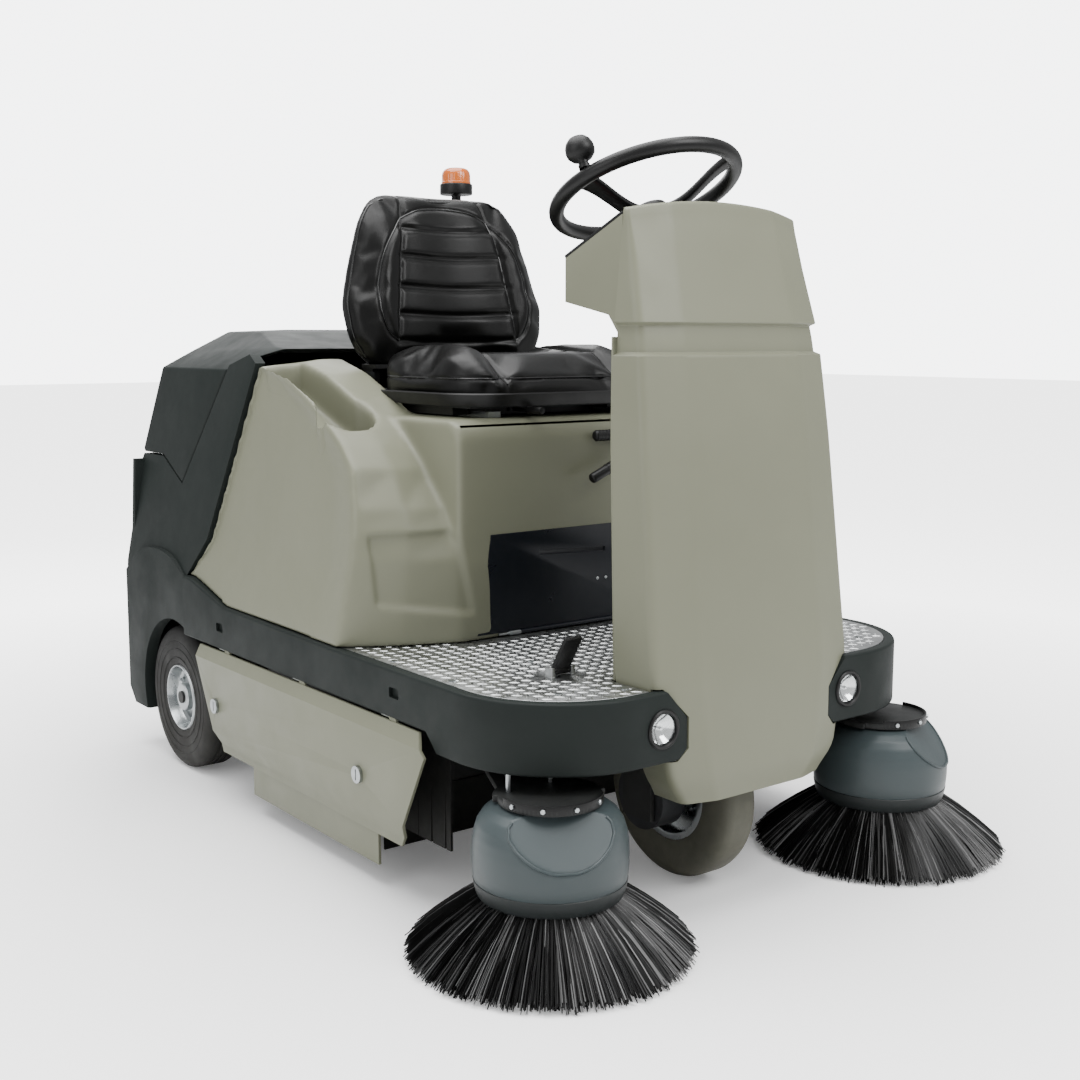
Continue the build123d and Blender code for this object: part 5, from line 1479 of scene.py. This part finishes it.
def pipingOn(piece, lines, aim, radius, name):
    # a thin welt laid on the surface along each seam, found by looking along aim
    tree = BVHTree.FromObject(piece, bpy.context.evaluated_depsgraph_get())
    aim = Vector(aim)
    welts = []
    for line in lines:
        found = []
        for a, b in line:
            start = Vector((a, -0.6, b)) if abs(aim.y) > 0.5 else Vector((a, b, 1.5))
            spot, normal, index, gap = tree.ray_cast(start, aim)
            if spot is not None:
                found.append(spot + normal * radius * 0.25)
        if len(found) > 3:
            welts.append(strip("welt", found, radius, 6, up=(0.02, 0.3, 1) if abs(aim.y) < 0.5 else (0.02, 1, 0.3)))
    whole = joinPieces(welts[0], welts[1:])
    whole.name = name
    smoothShade(whole)
    return whole


def makeCushion():
    c = seat["cushion"]
    plan = roundedLine([(-c["half"], c["front"], 0), (c["half"], c["front"], 0), (c["half"], c["rear"], 0),
                        (-c["half"], c["rear"], 0)], c["corner"] * 1.5, 10, True)
    middle = Vector((0, (c["front"] + c["rear"]) / 2, 0))
    rings = []
    for z, scale in ((c["low"], 0.97), (c["low"] + 0.010, 0.985), (c["low"] + 0.045, 1.0), (c["top"] - 0.030, 1.0),
                     (c["top"] - 0.012, 0.985), (c["top"] - 0.002, 0.955), (c["top"], 0.90), (c["top"], 0.6), (c["top"], 0.2)):
        rings.append([Vector((p.x * scale, middle.y + (p.y - middle.y) * scale, z)) for p in plan])
    piece = tubeSkin("seatCushion", rings)
    cells = piece.modifiers.new("cells", "REMESH")
    cells.mode = "VOXEL"
    cells.voxel_size = 0.007
    bakeModifiers(piece)
    for vert in piece.data.vertices:
        x, y, z = vert.co
        rise = ease(c["low"] + 0.02, c["top"], z)
        side = ease(c["bolsterFrom"], c["bolsterTo"] - 0.02, abs(x))
        vert.co.z += rise * c["bolster"] * (side - 0.35) * ease(-0.235, -0.10, y)
        vert.co.z -= rise * c["nose"] * (1 - ease(-0.225, -0.12, y))
    puffUp(piece, lambda p: p.z < c["low"] + 0.012)
    sides = [flatCurve([(s * 0.150, -0.215), (s * 0.152, -0.120), (s * 0.160, -0.02), (s * 0.172, 0.08), (s * 0.165, 0.165)])
             for s in (-1, 1)]
    across = [flatCurve([(-0.152, -0.085), (-0.08, -0.098), (0, -0.102), (0.08, -0.098), (0.152, -0.085)]),
              flatCurve([(-0.157, -0.015), (0, -0.028), (0.157, -0.015)]),
              flatCurve([(-0.164, 0.055), (0, 0.045), (0.164, 0.055)])]
    seams = sides + across[:1]
    for vert in piece.data.vertices:
        x, y, z = vert.co
        if vert.normal.z < 0.15:
            continue
        dip = 0.0065 * math.exp(-(min(nearLine(x, y, line) for line in seams) / 0.0060) ** 2)
        dip = max(dip, 0.0045 * math.exp(-(min(nearLine(x, y, line) for line in across[1:]) / 0.0075) ** 2))
        vert.co.z -= dip
    for vert in piece.data.vertices:
        # a welt line runs round the sides where the top panel meets the border
        z = vert.co.z
        if abs(vert.normal.z) < 0.8:
            vert.co -= vert.normal * 0.0035 * math.exp(-((z - 0.975) / 0.004) ** 2)
    smoothShade(piece, 180)
    finishPiece(piece, paint["vinyl"], "seat", "vinyl", "seat_cushion")
    welts = pipingOn(piece, seams, (0, 0, -1), 0.0021, "cushionPiping")
    border = [Vector((p.x, p.y, 0.9755)) for p in plan]
    tree = BVHTree.FromObject(piece, bpy.context.evaluated_depsgraph_get())
    ring = []
    for p in border:
        away = (p - Vector((0, middle.y, p.z))).normalized()
        spot, normal, index, gap = tree.ray_cast(p + away * 0.15, -away)
        if spot is not None:
            ring.append(spot)
    joinPieces(welts, [strip("welt", ring, 0.0024, 6, closed=True)])
    smoothShade(welts)
    finishPiece(welts, paint["vinylWelt"], "seat", "vinyl")
    tray = [Vector((p.x * 1.045, middle.y + (p.y - middle.y) * 1.05, 0)) for p in plan]
    lip = []
    for dz, out in ((0.920, 0.000), (0.931, 0.004), (0.944, 0.006), (0.947, 0.004), (0.946, 0.000), (0.931, -0.001),
                    (0.920, -0.005)):
        lip.append([Vector((p.x * (1 + out / c["half"]), middle.y + (p.y - middle.y) * (1 + out / 0.2), dz)) for p in tray])
    rim = tubeSkin("seatTray", lip, closed=True)
    fillers = [box("filler", (-0.146, -0.115, 0.8975), (0.146, 0.225, 0.9145)), box("filler", (-0.226, -0.115, 0.8990), (-0.186, 0.20, 0.9145)),
               box("filler", (0.186, -0.115, 0.8990), (0.226, 0.20, 0.9145))]
    joinPieces(rim, fillers)
    smoothShade(rim, 35)
    finishPiece(rim, paint["blackPlastic"], "seat", "black_plastic")


def makeBack():
    b = seat["back"]
    rings = []
    levels = 26
    for k in range(levels + 1):
        z = b["low"] + (b["high"] - b["low"]) * k / levels
        half = between(b["half"], z)[0]
        front, rear = between(b["front"], z)[0], between(b["rear"], z)[0]
        shrink = 0.90 if k in (0, levels) else 0.965 if k in (1, levels - 1) else 1.0
        plan = roundedLine([(-half * shrink, front, 0), (half * shrink, front, 0), (half * shrink, rear, 0),
                            (-half * shrink, rear, 0)], 0.042, 8, True)
        rings.append([Vector((p.x, p.y, z)) for p in plan])
    piece = tubeSkin("seatBack", rings)
    cells = piece.modifiers.new("cells", "REMESH")
    cells.mode = "VOXEL"
    cells.voxel_size = 0.007
    bakeModifiers(piece)
    for vert in piece.data.vertices:
        x, y, z = vert.co
        half = between(b["half"], z)[0]
        front, rear = between(b["front"], z)[0], between(b["rear"], z)[0]
        depth = (rear - y) / (rear - front)
        vert.co.y -= ease(0.3, 1.0, depth) * 0.017 * ease(0.52, 0.80, abs(x) / half) * (1 - ease(1.29, 1.38, z))
        vert.co.y += ease(0.3, 1.0, depth) * 0.006 * (1 - ease(0.0, 0.45, abs(x) / half))
    puffUp(piece, lambda p: p.y > between(b["rear"], p.z)[0] - 0.014)
    panelSide = [[(s * 0.165, 1.052), (s * 0.158, 1.113), (s * 0.148, 1.175), (s * 0.138, 1.244), (s * 0.125, 1.307), (s * 0.118, 1.330)]
                 for s in (-1, 1)]
    arch = flatCurve([(-0.118, 1.330), (-0.07, 1.350), (0, 1.357), (0.07, 1.350), (0.118, 1.330)])
    channels = [flatCurve([(-w, z + 0.001), (0, z - 0.004), (w, z + 0.001)]) for z, w in
                ((1.307, 0.125), (1.244, 0.138), (1.175, 0.148), (1.113, 0.158), (1.052, 0.165))]
    wings = [flatCurve([(s * 0.118, 1.330), (s * 0.172, 1.270), (s * 0.200, 1.200), (s * 0.207, 1.130), (s * 0.190, 1.075), (s * 0.165, 1.052)])
             for s in (-1, 1)]
    tops = [[(s * 0.118, 1.330), (s * 0.112, 1.36), (s * 0.106, 1.386)] for s in (-1, 1)]
    for vert in piece.data.vertices:
        x, y, z = vert.co
        if vert.normal.y > -0.2:
            continue
        dip = 0.0085 * math.exp(-(min(nearLine(x, z, line) for line in channels) / 0.0075) ** 2)
        seamGap = min(nearLine(x, z, line) for line in panelSide + wings + tops + [arch])
        dip = max(dip, 0.0060 * math.exp(-(seamGap / 0.0055) ** 2))
        vert.co.y += dip
    smoothShade(piece, 180)
    finishPiece(piece, paint["vinyl"], "backrest", "vinyl", "seat_back")
    welts = pipingOn(piece, panelSide + wings + tops + [arch], (0, 1, 0), 0.0021, "backPiping")
    tree = BVHTree.FromObject(piece, bpy.context.evaluated_depsgraph_get())
    for share in (0.30,):
        ring = []
        for k in range(61):
            # round the edge of the back, from one foot over the top to the other
            t = k / 60
            outline = [(s * between(b["half"], z)[0], z) for s, zs in ((-1, range(101, 139, 3)), (1, range(138, 100, -3)))
                       for z in (v / 100 for v in zs)]
            i = min(len(outline) - 2, int(t * (len(outline) - 1)))
            f = t * (len(outline) - 1) - i
            x = outline[i][0] + (outline[i + 1][0] - outline[i][0]) * f
            z = outline[i][1] + (outline[i + 1][1] - outline[i][1]) * f
            front, rear = between(b["front"], z)[0], between(b["rear"], z)[0]
            y = front + (rear - front) * share
            away = Vector((x, 0, z - 1.20)).normalized()
            spot, normal, index, gap = tree.ray_cast(Vector((x, y, z)) + away * 0.15, -away)
            if spot is not None:
                ring.append(spot)
        joinPieces(welts, [strip("welt", ring, 0.0026, 6, up=(0, 1, 0))])
    smoothShade(welts)
    finishPiece(welts, paint["vinylWelt"], "backrest", "vinyl")
    # hinge cheeks at the foot of the back
    cheeks = nodeCopy("seat_back", "backCheeks")
    keep = box("keep", (-0.2225, 0.20, 0.93), (0.2225, 0.262, 0.999))
    cutWith(cheeks, keep, "INTERSECT")
    smoothShade(cheeks)
    finishPiece(cheeks, paint["blackPlastic"], "backrest", "black_plastic")


makeCushion()
makeBack()
print("seat made")


# steering wheel, knob and dash fittings

steering = {"centre": (0, -0.458, 1.341), "tilt": 23.5, "radius": 0.179, "tube": 0.0150, "spokes": (67, 187, 307),
            "knobAngle": 192, "hubDrop": 0.050, "dashDrop": 0.1325}
tilt = math.radians(steering["tilt"])
wheelUp = Vector((0, math.sin(tilt), math.cos(tilt)))
wheelAcross = Vector((0, math.cos(tilt), -math.sin(tilt)))
wheelCentre = Vector(steering["centre"])


def onWheel(degrees, radius, rise):
    a = math.radians(degrees)
    return wheelCentre + Vector((1, 0, 0)) * math.cos(a) * radius + wheelAcross * math.sin(a) * radius + wheelUp * rise


def makeSteering():
    st = steering
    wheel = nodeCopy("steering_wheel", "steeringWheel")
    # keep the shaft and its socket; the rim, spokes and hub are drawn again
    keep = turned("keep", [(0.030, -0.40), (0.030, -0.069)], wheelCentre, wheelUp, 48)
    cutWith(wheel, keep, "INTERSECT")
    rim = strip("rim", [onWheel(4 * k, st["radius"], 0) for k in range(90)], st["tube"] - 0.0002, 20, closed=True, up=wheelUp)
    pieces = [rim]
    for degrees in st["spokes"]:
        rows = []
        for k in range(13):
            t = k / 12
            radius = 0.022 + (st["radius"] - 0.022) * t
            sink = -st["hubDrop"] * (1 - ease(0.1, 1.0, t))
            width = 0.020 - 0.0055 * math.sin(math.pi * t) + 0.003 * t
            thick = 0.0085 - 0.001 * t
            a = math.radians(degrees)
            out = Vector((1, 0, 0)) * math.cos(a) + wheelAcross * math.sin(a)
            side = wheelUp.cross(out)
            middle = wheelCentre + out * radius + wheelUp * sink
            rows.append([middle + side * width * math.copysign(abs(math.cos(b)) ** 0.6, math.cos(b))
                         + wheelUp * thick * math.copysign(abs(math.sin(b)) ** 0.6, math.sin(b))
                         for b in (2 * math.pi * m / 20 for m in range(20))])
        pieces.append(tubeSkin("spoke", rows))
    hub = turned("hub", [(0.026, -0.0695), (0.0335, -0.066), (0.034, -0.050), (0.0335, -0.038), (0.030, -0.033),
                         (0.0285, -0.033), (0.027, -0.0345), (0.0255, -0.0325), (0.016, -0.0300), (0.0, -0.0290)],
                 wheelCentre, wheelUp, 64)
    joinPieces(wheel, pieces + [hub])
    smoothShade(wheel, 35)
    finishPiece(wheel, paint["blackPlastic"], "steering_wheel", "black_plastic", "steering_wheel")
    foot = onWheel(st["knobAngle"], st["radius"], 0)
    knob = turned("steeringKnob", [(0.011, 0.0153), (0.011, 0.0225), (0.0095, 0.024), (0.0095, 0.029), (0.0125, 0.0315),
                                   (0.020, 0.0355), (0.0262, 0.0430), (0.0280, 0.0510), (0.0272, 0.0600), (0.0238, 0.0685),
                                   (0.0175, 0.0755), (0.009, 0.0795), (0.0, 0.0800)], foot, wheelUp, 56)
    smoothShade(knob, 40)
    finishPiece(knob, paint["blackPlastic"], "steering_knob", "black_plastic", "steering_knob")


makeSteering()

dashCentre = wheelCentre - wheelUp * steering["dashDrop"]
stop = turned("stopButton", [(0.0079, -0.008), (0.0079, 0.0132), (0.0195, 0.0134), (0.0200, 0.0150), (0.0200, 0.0215),
                             (0.0190, 0.0245), (0.0160, 0.0263), (0.0100, 0.0269), (0.0, 0.0270)],
              dashCentre + Vector((-0.130, 0, 0)) - wheelAcross * 0.015, wheelUp, 56)
smoothShade(stop, 40)
finishPiece(stop, paint["redPlastic"], "stop_button", "red_plastic", "emergency_stop")
key = nodeCopy("ignition_key", "ignitionKey")
roundEdges(key, 0.0012, 3, 30)
smoothShade(key, 35)
finishPiece(key, paint["zincSteel"], "key", "zinc_steel", "ignition_key")

# beacon, with a ribbed dome on a black base
beacon = {"place": (0.182, 0.470, 0.0), "base": 1.416, "dome": 1.443, "top": 1.483}
base = nodeCopy("beacon_post", "beaconPost")
roundEdges(base, 0.0035, 3, 40)
smoothShade(base, 35)
finishPiece(base, paint["blackPlastic"], "hood", "black_plastic", "beacon_post")
dome = turned("beaconDome", [(0.0372, 1.4431), (0.0372, 1.4472), (0.0362, 1.4482), (0.0358, 1.4640), (0.0342, 1.4720),
                             (0.0295, 1.4785), (0.0215, 1.4820), (0.0110, 1.4829), (0.0, 1.4830)],
              beacon["place"], (0, 0, 1), 144,
              shape=lambda a, r, h: r - (0.0009 if 1.4485 < h < 1.4700 and int(a / (2 * math.pi) * 72) % 2 else 0))
smoothShade(dome, 40)
finishPiece(dome, paint["amberDome"], "hood", "amber", "beacon_dome")

# levers, pedals and the seat's slide lever
for name, (spot, tilted, bodyName, node) in (("brushes", lever["brushes"]), ("flap", lever["flap"])):
    piece = nodeCopy(node, name + "Lever")
    roundEdges(piece, 0.0022, 3, 40)
    low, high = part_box(node)
    a = math.radians(tilted)
    run = Vector((-math.cos(a), 0, -math.sin(a)))
    start = Vector(spot)
    rings = []
    for k in range(6):
        t = 0.080 + 0.009 * k
        rings.append(turned("ring", [(0.0108, -0.0016), (0.0121, -0.0005), (0.0121, 0.0005), (0.0108, 0.0016)],
                            start + run * t, run, 28, closed=True))
    joinPieces(piece, rings)
    smoothShade(piece, 35)
    finishPiece(piece, paint["blackPlastic"], bodyName, "black_plastic", node)

for node, bodyName in (("accelerator_pedal", "accelerator"), ("brake_pedal", "brake")):
    pedal = nodeCopy(node, bodyName + "Pedal")
    roundEdges(pedal, 0.0016, 3, 30)
    smoothShade(pedal, 35)
    finishPiece(pedal, paint["blackPlastic"], bodyName, "black_plastic", node)

slide = nodeCopy("seat_slide_lever", "slideLever")
roundEdges(slide, 0.0015, 3, 40)
smoothShade(slide, 35)
finishPiece(slide, paint["blackPlastic"], "slide_lever", "black_plastic", "seat_slide_lever")

# the rubber flaps, slit and ragged along their lower edge
flaps = nodeCopy("rubber_flaps", "rubberFlaps")
chooser = random.Random(5)
cutters = []
for name, side in bothSides:
    y = -0.418
    while y < -0.175:
        width = 0.0025 + 0.005 * chooser.random()
        reach = 0.150 + 0.09 * chooser.random()
        cutters.append(prism("slit", [(y, 0.085), (y + width, 0.085), (y + width * 0.6, reach)], "X", *sorted((side * 0.44, side * 0.46))))
        y += 0.030 + 0.022 * chooser.random()
cutter = joinPieces(cutters[0], cutters[1:])
cutWith(flaps, cutter)
smoothShade(flaps, 35)
finishPiece(flaps, paint["sheetRubber"], "machine", "black_rubber", "rubber_flaps")
print("controls made")


low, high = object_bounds()
